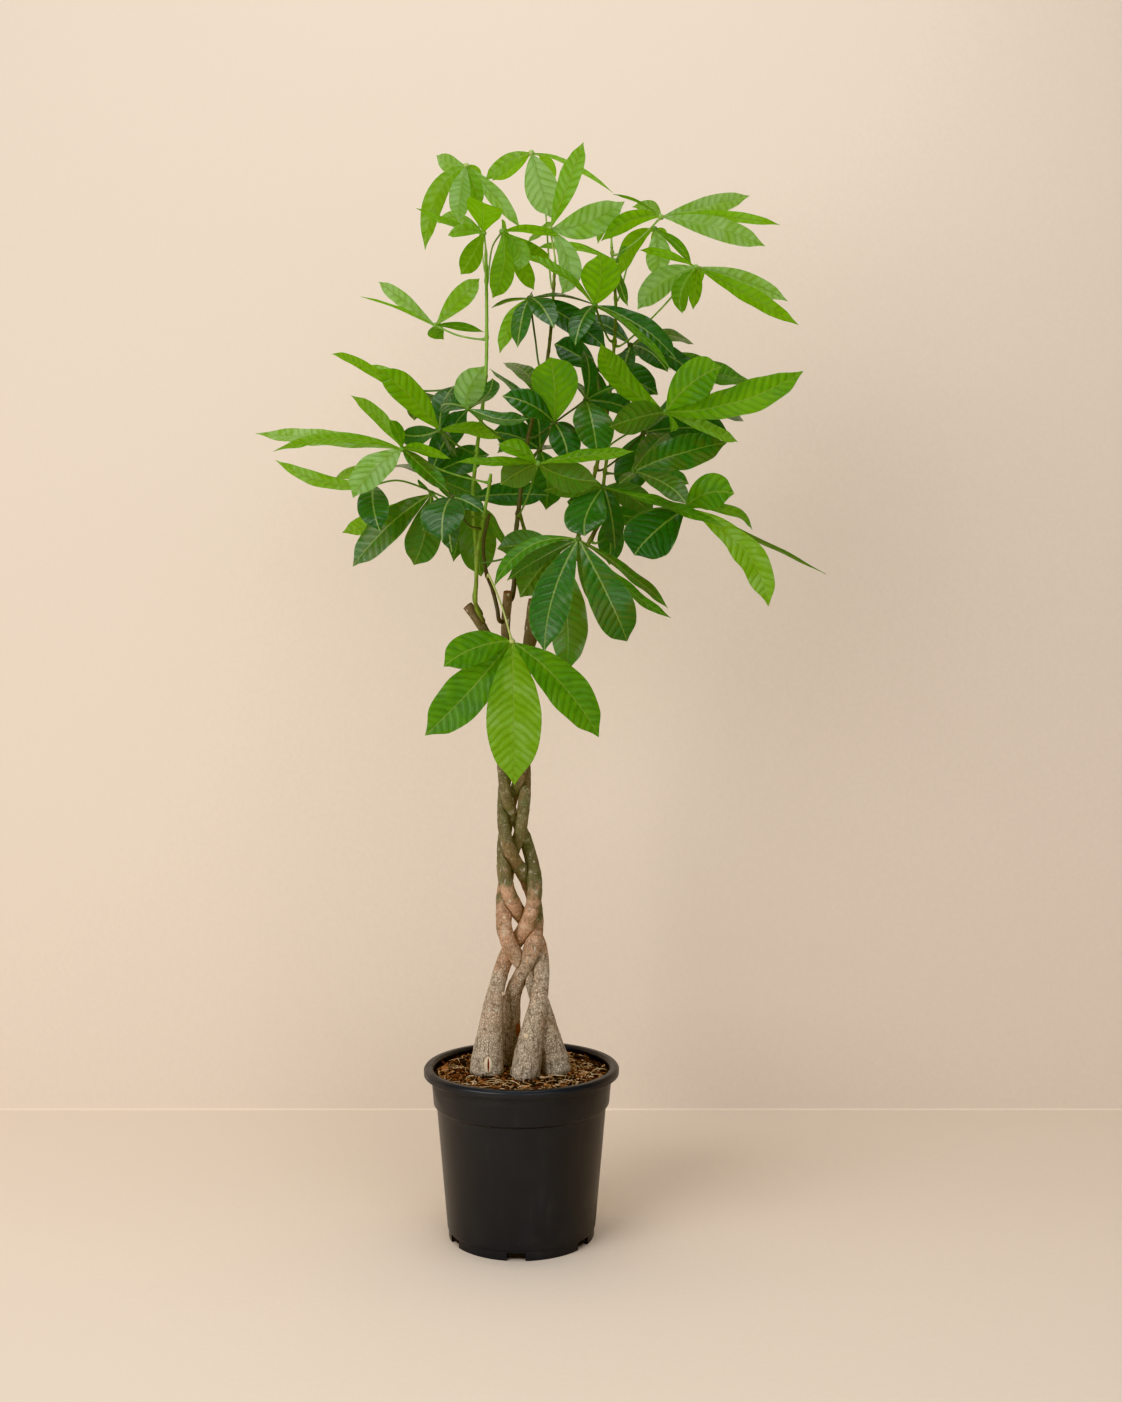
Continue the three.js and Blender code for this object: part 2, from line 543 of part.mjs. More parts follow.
// One leaflet: [across, up, near] of its tip, its width, its turn in degrees (0 shows its upper face to
// the front, 90 its edge, 180 its underside), and where given a point that its midrib bows towards.
const LEAVES = {
  top_left: {
    on: 'left_tall', from: 1186, hub: [-68, 1314, -30], by: [-60, 1292, -72], young: true,
    leaflets: [
      [-105, 1327, -56, 22, 150, [-91, 1311, -48]],
      [-119, 1210, -24, 27, 150, [-114, 1296, -34]],
      [-78, 1246, 34, 27, 168],
      [-50, 1264, -22, 20, 160],
      [-2, 1238, -62, 26, 130, [-36, 1281, -46]],
      [-49, 1303, -72, 9, 100],
    ],
  },
  top_middle: {
    on: 'middle_tall', from: 1166, hub: [12, 1330, -32], by: [24, 1304, -74], young: true,
    leaflets: [
      [-45, 1296, -28, 20, 135, [-18, 1324, -32]],
      [36, 1250, -30, 42, 172],
      [112, 1281, -40, 15, 100, [60, 1324, -36]],
      [30, 1290, -110, 24, 100, [42, 1326, -62]],
      [-36, 1296, -100, 18, 120, [-14, 1308, -66]],
    ],
  },
  top_right: {
    on: 'middle_tall', from: 'tip', hub: [35, 1236, 10], young: true,
    leaflets: [
      [76, 1343, 50, 30, 25, [59, 1294, 36]],
      [10, 1226, -66, 39, 20, [28, 1231, -28]],
      [127, 1270, 12, 38, 152, [77, 1233, 20]],
      [49, 1156, 20, 32, 150, [74, 1188, 30]],
    ],
  },
  high_left: {
    on: 'left_tall', from: 'tip', hub: [-47, 1231, 8], young: true,
    leaflets: [
      [-46, 1268, 78, 44, 172],
      [-130, 1262, -12, 16, 104, [-92, 1240, 0]],
      [-75, 1180, 30, 27, 150, [-58, 1203, 34]],
      [-91, 1228, 36, 17, 130],
      [-103, 1243, -84, 18, 100],
    ],
  },
  high_middle: {
    on: 'left_tall', from: 1170, hub: [-24, 1233, -12], by: [-36, 1214, -48], young: true,
    leaflets: [
      [-36, 1151, 26, 30, 165, [-14, 1188, 24]],
      [-4, 1185, 20, 24, 165, [10, 1208, 2]],
      [15, 1161, -12, 22, 155, [0, 1190, -18]],
      [38, 1195, -64, 21, 140, [8, 1207, -38]],
      [49, 1227, 34, 17, 108, [14, 1240, 6]],
      [-16, 1230, -110, 27, 100],
    ],
  },
  far_right_top: {
    on: 'right_tall', from: 1206, hub: [172, 1251, -6], young: true,
    leaflets: [
      [281, 1277, -70, 24, 148, [227, 1263, -30]],
      [318, 1241, -10, 18, 112, [251, 1257, -8]],
      [300, 1215, 60, 27, 152, [239, 1243, 30]],
      [98, 1221, 20, 24, 140, [132, 1257, 10]],
      [136, 1263, -90, 15, 120],
      [113, 1279, -42, 8, 94, [146, 1272, -26]],
    ],
  },
  right_hanging: {
    on: 'right_tall', from: 1150, hub: [164, 1236, -34], by: [142, 1222, -72], young: true,
    leaflets: [
      [121, 1178, -30, 26, 140, [132, 1228, -30]],
      [166, 1178, -12, 32, 166],
      [209, 1193, -14, 16, 120],
      [170, 1214, -112, 22, 100],
    ],
  },
  right_high: {
    on: 'right_tall', from: 1096, hub: [215, 1189, 4], young: true, by: [170, 1136, -26],
    leaflets: [
      [143, 1137, 26, 33, 158, [169, 1180, 20]],
      [198, 1132, 46, 26, 150, [187, 1158, 30]],
      [211, 1137, -20, 19, 155],
      [219, 1165, -58, 13, 150],
      [341, 1118, 2, 24, 128, [278, 1156, 4]],
      [328, 1147, -36, 22, 150, [273, 1179, -18]],
      [146, 1210, 14, 15, 108, [178, 1209, 10]],
    ],
  },
  right_tuft: {
    on: 'right_tall', from: 'tip', hub: [111, 1240, -10], young: true,
    leaflets: [
      [106, 1268, -18, 8, 150],
      [97, 1260, -2, 8, 120],
      [94, 1218, -8, 10, 30, [98, 1240, -8]],
      [116, 1262, 6, 7, 110],
    ],
  },
  right_upper: {
    on: 'right_tall', from: 1168, hub: [116, 1197, 14], young: true,
    leaflets: [
      [20, 1213, -22, 17, 106, [64, 1222, -2]],
      [130, 1212, 34, 13, 50],
      [131, 1141, 14, 16, 40, [117, 1170, 22]],
    ],
  },
  upper_right: {
    on: 'right_tall', from: 1100, hub: [90, 1142, 16],
    leaflets: [
      [96, 1206, 58, 48, 172, [101, 1172, 40]],
      [2, 1203, 52, 24, 50, [52, 1191, 52]],
      [184, 1062, 64, 19, 55, [140, 1120, 58]],
      [190, 1076, 22, 34, 30, [150, 1124, 16]],
      [66, 1093, 60, 30, 20],
    ],
  },
  upper_middle: {
    on: 'middle_tall', from: 1062, hub: [10, 1151, 18],
    leaflets: [
      [-27, 1083, 26, 24, 35],
      [-5, 1090, 48, 26, 20],
      [-37, 1139, 4, 12, 95, [-16, 1150, 12]],
      [92, 1142, 6, 24, 65, [48, 1160, 22]],
      [104, 1088, 36, 42, 25, [62, 1130, 30]],
      [40, 1114, 70, 30, 20],
      [16, 1140, -92, 26, 90, [12, 1148, -34]],
    ],
  },
  right_star: {
    on: 'right_tall', from: 1050, hub: [134, 1093, -26],
    leaflets: [
      [180, 1060, 14, 32, 20],
      [280, 1050, -100, 44, 35, [226, 1058, -62]],
      [226, 1044, -20, 30, 20],
      [212, 1094, -90, 26, 40],
      [118, 1032, 10, 27, 20],
      [70, 1124, -60, 28, 30],
    ],
  },
  far_left_top: {
    on: 'left_tall', from: 1100, hub: [-106, 1117, -12], young: true,
    leaflets: [
      [-176, 1171, -16, 20, 145],
      [-198, 1153, 18, 13, 98, [-150, 1140, 6]],
      [-52, 1175, 22, 26, 148, [-76, 1151, 8]],
      [-46, 1109, -34, 14, 120],
      [-96, 1100, -84, 22, 110],
    ],
  },
  left_behind: {
    on: 'left_tall', from: 1052, hub: [-125, 1036, -42],
    leaflets: [
      [-191, 1069, -70, 20, 40, [-163, 1056, -58]],
      [-132, 1000, -62, 22, 30],
      [-96, 1020, -96, 24, 90],
      [-160, 1034, -108, 22, 90],
    ],
  },
  left_upper: {
    on: 'left_tall', from: 960, hub: [-101, 988, 26],
    leaflets: [
      [-234, 1082, -6, 17, 122, [-190, 1078, 4]],
      [-178, 1064, 70, 40, 30, [-133, 1031, 54]],
      [-23, 977, 30, 34, 45, [-63, 995, 28]],
      [-150, 984, -14, 28, 20, [-126, 976, -2]],
      [-82, 1043, -6, 30, 20],
      [-80, 956, -30, 26, 60],
    ],
  },
  left_middle: {
    on: 'left_low', from: 920, hub: [-147, 965, 36],
    leaflets: [
      [-306, 962, 26, 28, 52, [-230, 992, 30]],
      [-328, 984, -74, 34, 40, [-240, 979, -50]],
      [-210, 1031, -12, 20, 140, [-163, 1000, 8]],
      [-163, 1001, 60, 22, 55, [-148, 983, 52]],
      [-208, 905, 78, 46, 20, [-182, 947, 66]],
      [-88, 953, 74, 22, 120],
      [-90, 912, 56, 27, 40],
    ],
  },
  left_far_low: {
    on: 'left_tall', from: 896, hub: [-182, 921, 14], by: [-150, 926, 4],
    leaflets: [
      [-303, 951, 2, 20, 140, [-244, 913, 10]],
      [-231, 926, -44, 26, 40, [-214, 946, -16]],
      [-175, 864, 82, 38, 10, [-188, 902, 66]],
    ],
  },
  left_low_broad: {
    on: 'left_low', from: 876, hub: [-111, 910, 34], by: [-78, 884, 50],
    leaflets: [
      [-208, 820, 20, 42, 15, [-168, 876, 34]],
      [-133, 822, 6, 44, 160, [-117, 852, 14]],
      [-126, 920, 92, 17, 40],
      [-221, 862, -40, 28, 150, [-180, 872, -30]],
    ],
  },
  left_glossy: {
    on: 'left_low', from: 862, hub: [-86, 905, 62], by: [-66, 872, 58],
    leaflets: [
      [-98, 852, 118, 52, 15],
      [-122, 864, 60, 26, 30],
      [-86, 838, 40, 28, 20],
      [-46, 886, 84, 26, 30],
    ],
  },
  left_inner: {
    on: 'middle_tall', from: 962, hub: [-66, 1015, 62], by: [-40, 990, 58],
    leaflets: [
      [-46, 1067, 34, 36, 168, [-75, 1034, 52]],
      [-36, 1052, 6, 24, 30, [-34, 1030, 22]],
      [10, 1003, 92, 32, 45, [-24, 994, 92]],
      [-100, 1018, 30, 30, 25],
    ],
  },
  middle_upper: {
    on: 'middle_tall', from: 944, hub: [40, 997, 54],
    leaflets: [
      [35, 1078, 96, 56, 168],
      [-39, 1064, 30, 20, 60, [-5, 1034, 42]],
      [58, 948, 74, 38, 20],
      [70, 966, 14, 24, 40],
      [-23, 1071, -60, 27, 30],
      [-24, 1030, 90, 34, 20],
    ],
  },
  middle_star: {
    on: 'middle_tall', from: 980, hub: [79, 1025, 30], by: [44, 1000, 20],
    leaflets: [
      [76, 1086, 12, 24, 30],
      [118, 1042, 46, 10, 40],
      [93, 956, 78, 50, 12, [88, 1004, 62]],
      [140, 1008, 8, 28, 20],
      [50, 1048, -30, 16, 40],
    ],
  },
  middle_front: {
    on: 'middle_tall', from: 884, hub: [20, 947, 98],
    leaflets: [
      [-80, 949, 110, 22, 48, [-30, 950, 106]],
      [-29, 971, 102, 36, 50],
      [138, 962, 100, 27, 52, [73, 957, 108]],
      [-26, 921, 66, 36, 158],
      [94, 925, 78, 38, 150, [52, 926, 76]],
    ],
  },
  right_inner: {
    on: 'right_low', from: 872, hub: [101, 918, 50],
    leaflets: [
      [28, 913, 32, 34, 152],
      [78, 858, 66, 54, 25, [72, 884, 62]],
      [250, 869, 82, 30, 58, [178, 898, 74]],
      [115, 842, 22, 30, 20],
      [162, 884, 14, 34, 150],
    ],
  },
  right_grey: {
    on: 'right_low', from: 934, hub: [138, 937, 28],
    leaflets: [
      [253, 973, -6, 46, 20, [183, 960, 20]],
      [206, 922, 36, 24, 30],
      [203, 897, 96, 30, 25],
      [120, 922, 62, 17, 40],
      [182, 985, -50, 34, 20, [160, 972, -26]],
    ],
  },
  right_light: {
    on: 'right_low', from: 'tip', hub: [177, 1010, 62],
    leaflets: [
      [347, 1061, 80, 44, 25, [268, 1010, 90]],
      [246, 1066, 108, 50, 15, [207, 1054, 84]],
      [98, 1095, 100, 42, 30, [102, 1051, 86]],
      [108, 992, 96, 40, 148],
      [266, 974, 24, 24, 38, [233, 990, 46]],
      [272, 1001, -70, 36, 20],
      [184, 986, 112, 17, 60],
    ],
  },
  right_low_broad: {
    on: 'right_low', from: 850, hub: [203, 893, 42], by: [150, 888, 24],
    leaflets: [
      [262, 910, 62, 46, 20, [224, 919, 58]],
      [284, 866, 26, 28, 50, [268, 898, 36]],
      [304, 771, 62, 42, 32, [295, 848, 60]],
      [139, 834, 84, 60, 10, [150, 856, 78]],
      [375, 811, -20, 12, 105, [266, 866, -12]],
    ],
  },
  low_right: {
    on: 'left_low', from: 822, hub: [70, 854, 104], by: [14, 838, 46],
    leaflets: [
      [-34, 795, 130, 24, 40, [-4, 862, 130]],
      [-18, 803, 104, 26, 140, [18, 832, 110]],
      [28, 716, 144, 46, 12, [29, 786, 140]],
      [130, 728, 108, 50, 15, [116, 769, 154]],
      [184, 757, 84, 20, 55, [125, 787, 100]],
      [180, 769, 52, 22, 50, [147, 805, 50]],
      [122, 741, 60, 34, 158, [84, 800, 64]],
    ],
  },
  low_front: {
    on: 'middle_low', from: 806, hub: [-12, 728, 64], by: [-24, 770, 50],
    leaflets: [
      [-96, 697, 84, 46, 25, [-59, 728, 78]],
      [-119, 612, 62, 54, 12, [-62, 665, 68]],
      [-9, 551, 72, 65, 5, [-9, 650, 94]],
      [95, 610, 84, 50, 12, [57, 682, 98]],
    ],
  },
  hanging_middle: {
    on: 'right_low', from: 800, hub: [44, 838, 40],
    leaflets: [
      [56, 690, 44, 48, 165, [62, 762, 44]],
      [-2, 782, 44, 44, 165],
      [24, 846, -60, 28, 60],
      [-30, 842, 10, 38, 160],
    ],
  },
  hanging_left: {
    on: 'left_tall', from: 906, hub: [-64, 905, -46],
    leaflets: [
      [-20, 842, -24, 24, 118, [-30, 872, -22]],
      [-50, 808, -44, 50, 160],
      [-84, 826, -84, 26, 160],
      [-100, 868, -84, 28, 60],
      [34, 908, -40, 36, 20],
    ],
  },
  far_left: {
    on: 'left_tall', from: 900, hub: [-112, 930, -80],
    leaflets: [
      [-66, 1014, -84, 42, 20],
      [-40, 958, -78, 46, 25],
      [-44, 902, -80, 40, 160],
      [-160, 944, -150, 34, 60],
      [-84, 926, -178, 34, 80],
    ],
  },
  far_middle: {
    on: 'back', from: 'tip', hub: [22, 964, -92],
    leaflets: [
      [-36, 986, -92, 44, 25],
      [6, 1040, -100, 40, 20],
      [30, 890, -76, 46, 20],
      [60, 950, -190, 34, 70],
      [-30, 960, -180, 34, 80],
    ],
  },
  far_high_right: {
    on: 'right_tall', from: 1020, hub: [92, 1062, -84],
    leaflets: [
      [40, 1094, -84, 42, 20],
      [168, 1032, -80, 50, 25],
      [150, 1080, -180, 34, 70],
      [60, 1070, -190, 34, 80],
      [96, 990, -100, 36, 30],
    ],
  },
  far_right: {
    on: 'right_tall', from: 946, hub: [150, 985, -72],
    leaflets: [
      [256, 982, -84, 50, 25],
      [236, 1040, -136, 38, 30, [194, 1022, -124]],
      [124, 908, -84, 50, 20],
      [190, 930, -170, 34, 70],
      [140, 1000, -180, 34, 80],
    ],
  },
  far_low_right: {
    on: 'right_tall', from: 846, hub: [104, 884, -74],
    leaflets: [
      [56, 900, -112, 40, 20],
      [176, 862, -84, 44, 25],
      [108, 822, -84, 36, 20],
      [180, 880, -160, 34, 70],
      [70, 890, -176, 34, 80],
    ],
  },
};

const FRONT = new THREE.Vector3(0, -1, 0);
const UP = new THREE.Vector3(0, 0, 1);

// Places along a leaflet, and its width there as a share of its widest.
const LONG_BLADE = [[0.2, 0.5], [0.47, 0.97], [0.76, 0.8]];
const SHORT_BLADE = [[0.32, 0.74], [0.68, 0.94]];
const SHORT_LENGTH = 80;

function upperFace(direction, turnDegrees) {
  const across = new THREE.Vector3().crossVectors(direction, FRONT).normalize();
  const facing = new THREE.Vector3().crossVectors(across, direction).normalize();
  if (across.dot(UP) < 0) across.negate();
  const turn = THREE.MathUtils.degToRad(turnDegrees);
  return facing.multiplyScalar(Math.cos(turn)).addScaledVector(across, Math.sin(turn));
}

// Leaflets spread away from the stalk that carries them and then hang over, like fingers of a hand.
function leaflet(hub, tip, width, upper, bow, stalkWay) {
  const length = hub.distanceTo(tip);
  const away = stalkWay.clone().negate().multiplyScalar(LEAFLET_SPREAD * length);
  const arch = hub.clone().lerp(tip, 0.5).addScaledVector(upper, length * LEAFLET_ARCH).add(away);
  return { curve: new THREE.QuadraticBezierCurve3(hub, bow ?? arch, tip), tip, width, upper };
}

// The leaflet's own directions at a place on its midrib.
function leafletFrame({ curve, upper }, place) {
  const along = curve.getTangent(place);
  const side = new THREE.Vector3().crossVectors(along, upper).normalize();
  const normal = new THREE.Vector3().crossVectors(side, along).normalize();
  return { centre: curve.getPoint(place), along, side, normal };
}

// Six points round a leaflet: left, middle and right on its upper face, then back along its lower one.
function leafletSection(blade, place, share) {
  const { centre, side, normal } = leafletFrame(blade, place);
  const half = (blade.width / 2) * share;
  const fold = half * LEAF_FOLD;
  const thick = LEAF_THICKNESS / 2;
  const corners = [
    [-half, fold + thick], [0, thick], [half, fold + thick],
    [half, fold - thick], [0, -thick], [-half, fold - thick],
  ];
  return corners.map(([reach, lift]) => (
    centre.clone().addScaledVector(side, reach).addScaledVector(normal, lift)
  ));
}

// The four points where a leaflet leaves the knob: they lie on the knob's ball.
function leafletRoot(blade, hub) {
  const { along, side, normal } = leafletFrame(blade, 0);
  const out = Math.sqrt(KNOB_RADIUS ** 2 - ROOT_HALF_WIDTH ** 2 - ROOT_HALF_THICK ** 2);
  const corners = [[-1, 1], [1, 1], [1, -1], [-1, -1]];
  return corners.map(([reach, lift]) => hub.clone()
    .addScaledVector(along, out)
    .addScaledVector(side, reach * ROOT_HALF_WIDTH)
    .addScaledVector(normal, lift * ROOT_HALF_THICK));
}

// Triangles between two loops of points that turn the same way, given as pairs of shares round them.
function joinLoops(near, far, steps) {
  const triangles = [];
  for (const [a, b, c, d] of steps) {
    if (a !== b) triangles.push([near[a], near[b], far[d]]);
    if (c !== d) triangles.push([near[a], far[d], far[c]]);
  }
  return triangles;
}

// From four root points to the six of a section, and from one section to the next.
const ROOT_STEPS = [[0, 0, 0, 1], [0, 1, 1, 2], [1, 2, 2, 3], [2, 2, 3, 4], [2, 3, 4, 5], [3, 0, 5, 0]];
const SECTION_STEPS = [0, 1, 2, 3, 4, 5].map((at) => [at, (at + 1) % 6, at, (at + 1) % 6]);

function stalkCurve(leaf, hub) {
  const { points } = shootPaths[leaf.on];
  const by = leaf.by ? [seen(leaf.by)] : [];
  const target = by[0] ?? hub;
  if (leaf.from === 'tip') {
    const end = points.at(-1);
    const along = end.clone().sub(points.at(-3)).normalize();
    const seat = end.clone().addScaledVector(along, SEAT_GAP);
    const clear = end.clone().addScaledVector(along, SEAT_GAP + STALK_TIP_RUN);
    return new THREE.CatmullRomCurve3([seat, clear, ...by, hub], false, 'centripetal');
  }
  const radiusOf = (height) => shootRadius(leaf.on, height);
  const { seat, clear } = sideSeat(points, radiusOf, leaf.from, target, STALK_RADIUS * 1.6);
  const sag = -hub.distanceTo(clear) * STALK_SAG;
  const rise = by.length ? [] : [clear.clone().lerp(hub, 0.5).addScaledVector(UP, sag)];
  return new THREE.CatmullRomCurve3([seat, clear, ...rise, ...by, hub], false, 'centripetal');
}

// The last ring of the stalk lies on the knob's ball too, square to the way back down the stalk.
function stalkEnd(curve, hub) {
  const out = Math.sqrt(KNOB_RADIUS ** 2 - STALK_RADIUS ** 2);
  let place = 1;
  while (curve.getPointAt(place).distanceTo(hub) < out) place -= 0.002;
  const way = curve.getPointAt(place).sub(hub).normalize();
  return { place, way, centre: hub.clone().addScaledVector(way, out) };
}

function ringAround(centre, along, radius) {
  const first = new THREE.Vector3().crossVectors(along, FRONT).normalize();
  const second = new THREE.Vector3().crossVectors(along, first);
  const ring = [];
  for (let side = 0; side < STALK_SIDES; side += 1) {
    const angle = (side / STALK_SIDES) * Math.PI * 2;
    const point = centre.clone().addScaledVector(first, radius * Math.cos(angle));
    ring.push(point.addScaledVector(second, radius * Math.sin(angle)));
  }
  return ring;
}

function stalkRings(curve, hub) {
  const end = stalkEnd(curve, hub);
  const steps = Math.max(2, Math.round(curve.getLength() / STALK_STEP));
  const rings = [];
  for (let step = 0; step < steps; step += 1) {
    const place = (step / steps) * end.place;
    rings.push(ringAround(curve.getPointAt(place), curve.getTangentAt(place), STALK_RADIUS));
  }
  rings.push(ringAround(end.centre, end.way.negate(), STALK_RADIUS));
  return rings;
}

// One leaf is one skin: the stalk, a small many-sided knob, and leaflets that grow out of its faces.
function leafSolid(name, curve, hub, blades) {
  const points = [];
  const triangles = [];
  const addAll = (list) => list.map((point) => points.push(point) - 1);
  const rings = stalkRings(curve, hub).map(addAll);
  for (let side = 1; side + 1 < STALK_SIDES; side += 1) {
    triangles.push([rings[0][0], rings[0][side + 1], rings[0][side]]);
  }
  const round = [...Array(STALK_SIDES).keys()].map((at) => [at, (at + 1) % STALK_SIDES]);
  for (let step = 0; step + 1 < rings.length; step += 1) {
    triangles.push(...joinLoops(rings[step], rings[step + 1], round.map(([a, b]) => [a, b, a, b])));
  }
  const growths = [rings.at(-1)];
  for (const blade of blades) {
    const root = addAll(leafletRoot(blade, hub));
    growths.push(root);
    const shape = blade.curve.getLength() > SHORT_LENGTH ? LONG_BLADE : SHORT_BLADE;
    const sections = shape.map(([place, share]) => addAll(leafletSection(blade, place, share)));
    triangles.push(...joinLoops(root, sections[0], ROOT_STEPS));
    for (let at = 0; at + 1 < sections.length; at += 1) {
      triangles.push(...joinLoops(sections[at], sections[at + 1], SECTION_STEPS));
    }
    const [tip] = addAll([blade.tip]);
    const last = sections.at(-1);
    for (const [a, b] of SECTION_STEPS) triangles.push([last[a], last[b], tip]);
  }
  triangles.push(...knobTriangles(name, points, growths));
  return solidOf(points, triangles);
}

// The knob is the skin round all its growths' first points, open where each of them leaves it.
function knobTriangles(name, points, growths) {
  const indexOf = new Map(growths.flat().map((index) => [points[index], index]));
  const growthOf = new Map(growths.flatMap((growth, at) => growth.map((index) => [index, at])));
  const hull = new ConvexHull().setFromPoints([...indexOf.keys()]);
  const triangles = [];
  let opened = 0;
  for (const face of hull.faces) {
    const corner = face.edge;
    const three = [corner, corner.next, corner.next.next].map((edge) => indexOf.get(edge.head().point));
    const [first, second, third] = three.map((index) => growthOf.get(index));
    if (first === second && second === third) opened += 1;
    else triangles.push(three);
  }
  const wanted = growths.reduce((sum, growth) => sum + growth.length - 2, 0);
  if (opened !== wanted) throw new Error(`leaflets leave the knob of ${name} too close together`);
  return triangles;
}

function leafFromTable(name, leaf) {
  const hub = seen(leaf.hub);
  const stalk = stalkCurve(leaf, hub);
  const { way } = stalkEnd(stalk, hub);
  const blades = leaf.leaflets.map(([across, up, near, width, turn, bow]) => {
    const tip = seen([across, up, near]);
    const direction = tip.clone().sub(hub).normalize();
    return leaflet(hub, tip, width, upperFace(direction, turn), bow ? seen(bow) : null, way);
  });
  const solid = leafSolid(name, stalk, hub, blades);
  addPiece(`leaf_${name}`, solid, leaf.young ? youngLeaf : oldLeaf, hub);
}

// ---------------------------------------------------------------- the whole tree

addPiece('pot', potSolid(), potPlastic);
addPiece('soil', soilSolid(), barkSoil);
TRUNKS.forEach((trunk, index) => addPiece(trunk.name, trunkSolids[index], trunkBark));
for (const [name, { curve, steps, radiusAt }] of Object.entries(shootPaths)) {
  addPiece(`shoot_${name}`, stemAlong(curve, radiusAt, steps, SHOOT_SIDES), greenStem);
}
for (const [name, leaf] of Object.entries(LEAVES)) leafFromTable(name, leaf);

export default tree;
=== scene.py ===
# Potted money tree, dressed: every piece of the plant and its pot at real size, in metres, with +Z up
# and the front towards -Y. Places on the plant are readings in millimetres, as a grower would tape them.
import math
import random

import bpy
import numpy as np
from mathutils import Matrix, Vector, noise


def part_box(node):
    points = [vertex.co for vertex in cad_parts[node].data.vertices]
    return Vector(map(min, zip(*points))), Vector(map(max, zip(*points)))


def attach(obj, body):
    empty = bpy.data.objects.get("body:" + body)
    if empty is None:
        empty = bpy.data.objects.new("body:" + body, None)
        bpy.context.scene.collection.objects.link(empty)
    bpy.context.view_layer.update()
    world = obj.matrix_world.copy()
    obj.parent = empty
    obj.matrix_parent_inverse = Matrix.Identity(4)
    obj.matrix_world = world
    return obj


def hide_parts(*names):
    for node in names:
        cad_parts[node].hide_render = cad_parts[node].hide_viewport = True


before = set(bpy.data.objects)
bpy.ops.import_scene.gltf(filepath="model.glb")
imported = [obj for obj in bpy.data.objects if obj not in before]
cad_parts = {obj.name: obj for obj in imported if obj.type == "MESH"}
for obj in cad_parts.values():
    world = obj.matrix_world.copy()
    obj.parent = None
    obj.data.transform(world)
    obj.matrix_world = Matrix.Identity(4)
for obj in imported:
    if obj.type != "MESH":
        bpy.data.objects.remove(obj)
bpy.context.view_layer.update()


# ------------------------------------------------------------------------------------------------ pot
# A nursery pot, moulded in one shot from black polypropylene: a thin tapered wall, a stiff collar, a
# rolled rim, and a foot ring with six drain slots. The skin is a fine satin with handling scuffs.

MM = 0.001
pot_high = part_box("pot")[1]
POT_HEIGHT = pot_high.z
RIM_RADIUS = pot_high.x
SHOULDER_RADIUS = RIM_RADIUS - 10 * MM
BODY_RADIUS = RIM_RADIUS - 16 * MM
FOOT_RADIUS = RIM_RADIUS - 30.7 * MM
COLLAR_HEIGHT = POT_HEIGHT - 45 * MM
COLLAR_STEP = 3.8 * MM
SHOULDER_BLEND = 23 * MM
FOOT_HEIGHT = 12 * MM
POT_WALL = 2.2 * MM
POT_FLOOR = 3 * MM
RIM_DROP = 10 * MM
RIM_THICKNESS = 2.4 * MM
SLOT_COUNT = 6
SLOT_WIDTH = 22 * MM
SLOT_HEIGHT = 9.3 * MM
SLOT_REACH = 15 * MM
FIRST_SLOT = math.radians(-92.5)
POT_SIDES = 180


def close_skin(rings):
    """Points and faces of a closed skin over a stack of rings that all have the same number of points."""
    count, sides = rings.shape[:2]
    faces = []
    for ring in range(count - 1):
        for side in range(sides):
            near = ring * sides + side
            after = ring * sides + (side + 1) % sides
            faces.append((near, after, after + sides, near + sides))
    faces.append(tuple(range(sides - 1, -1, -1)))
    faces.append(tuple(range((count - 1) * sides, count * sides)))
    return rings.reshape(-1, 3), faces


def make_piece(name, points, faces, materials, slot, *nodes, sharp=40, face_material=None, marks=None):
    """A mesh piece in the tree's own frame. marks are values that each point carries for the finish."""
    mesh = bpy.data.meshes.new(name)
    mesh.from_pydata(np.asarray(points, float).tolist(), [], faces)
    mesh.update()
    for mark, values in (marks or {}).items():
        values = np.asarray(values, np.float32)
        kind = "FLOAT_VECTOR" if values.ndim == 2 else "FLOAT"
        layer = mesh.attributes.new(mark, kind, "POINT")
        layer.data.foreach_set("vector" if values.ndim == 2 else "value", values.ravel())
    for material in materials:
        mesh.materials.append(material)
    if face_material is not None:
        mesh.polygons.foreach_set("material_index", np.asarray(face_material, np.int32))
    mesh.shade_smooth()
    mesh.set_sharp_from_angle(angle=math.radians(sharp))
    piece = bpy.data.objects.new(name, mesh)
    bpy.context.scene.collection.objects.link(piece)
    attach(piece, "root")
    if nodes:
        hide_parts(*nodes)
    return piece


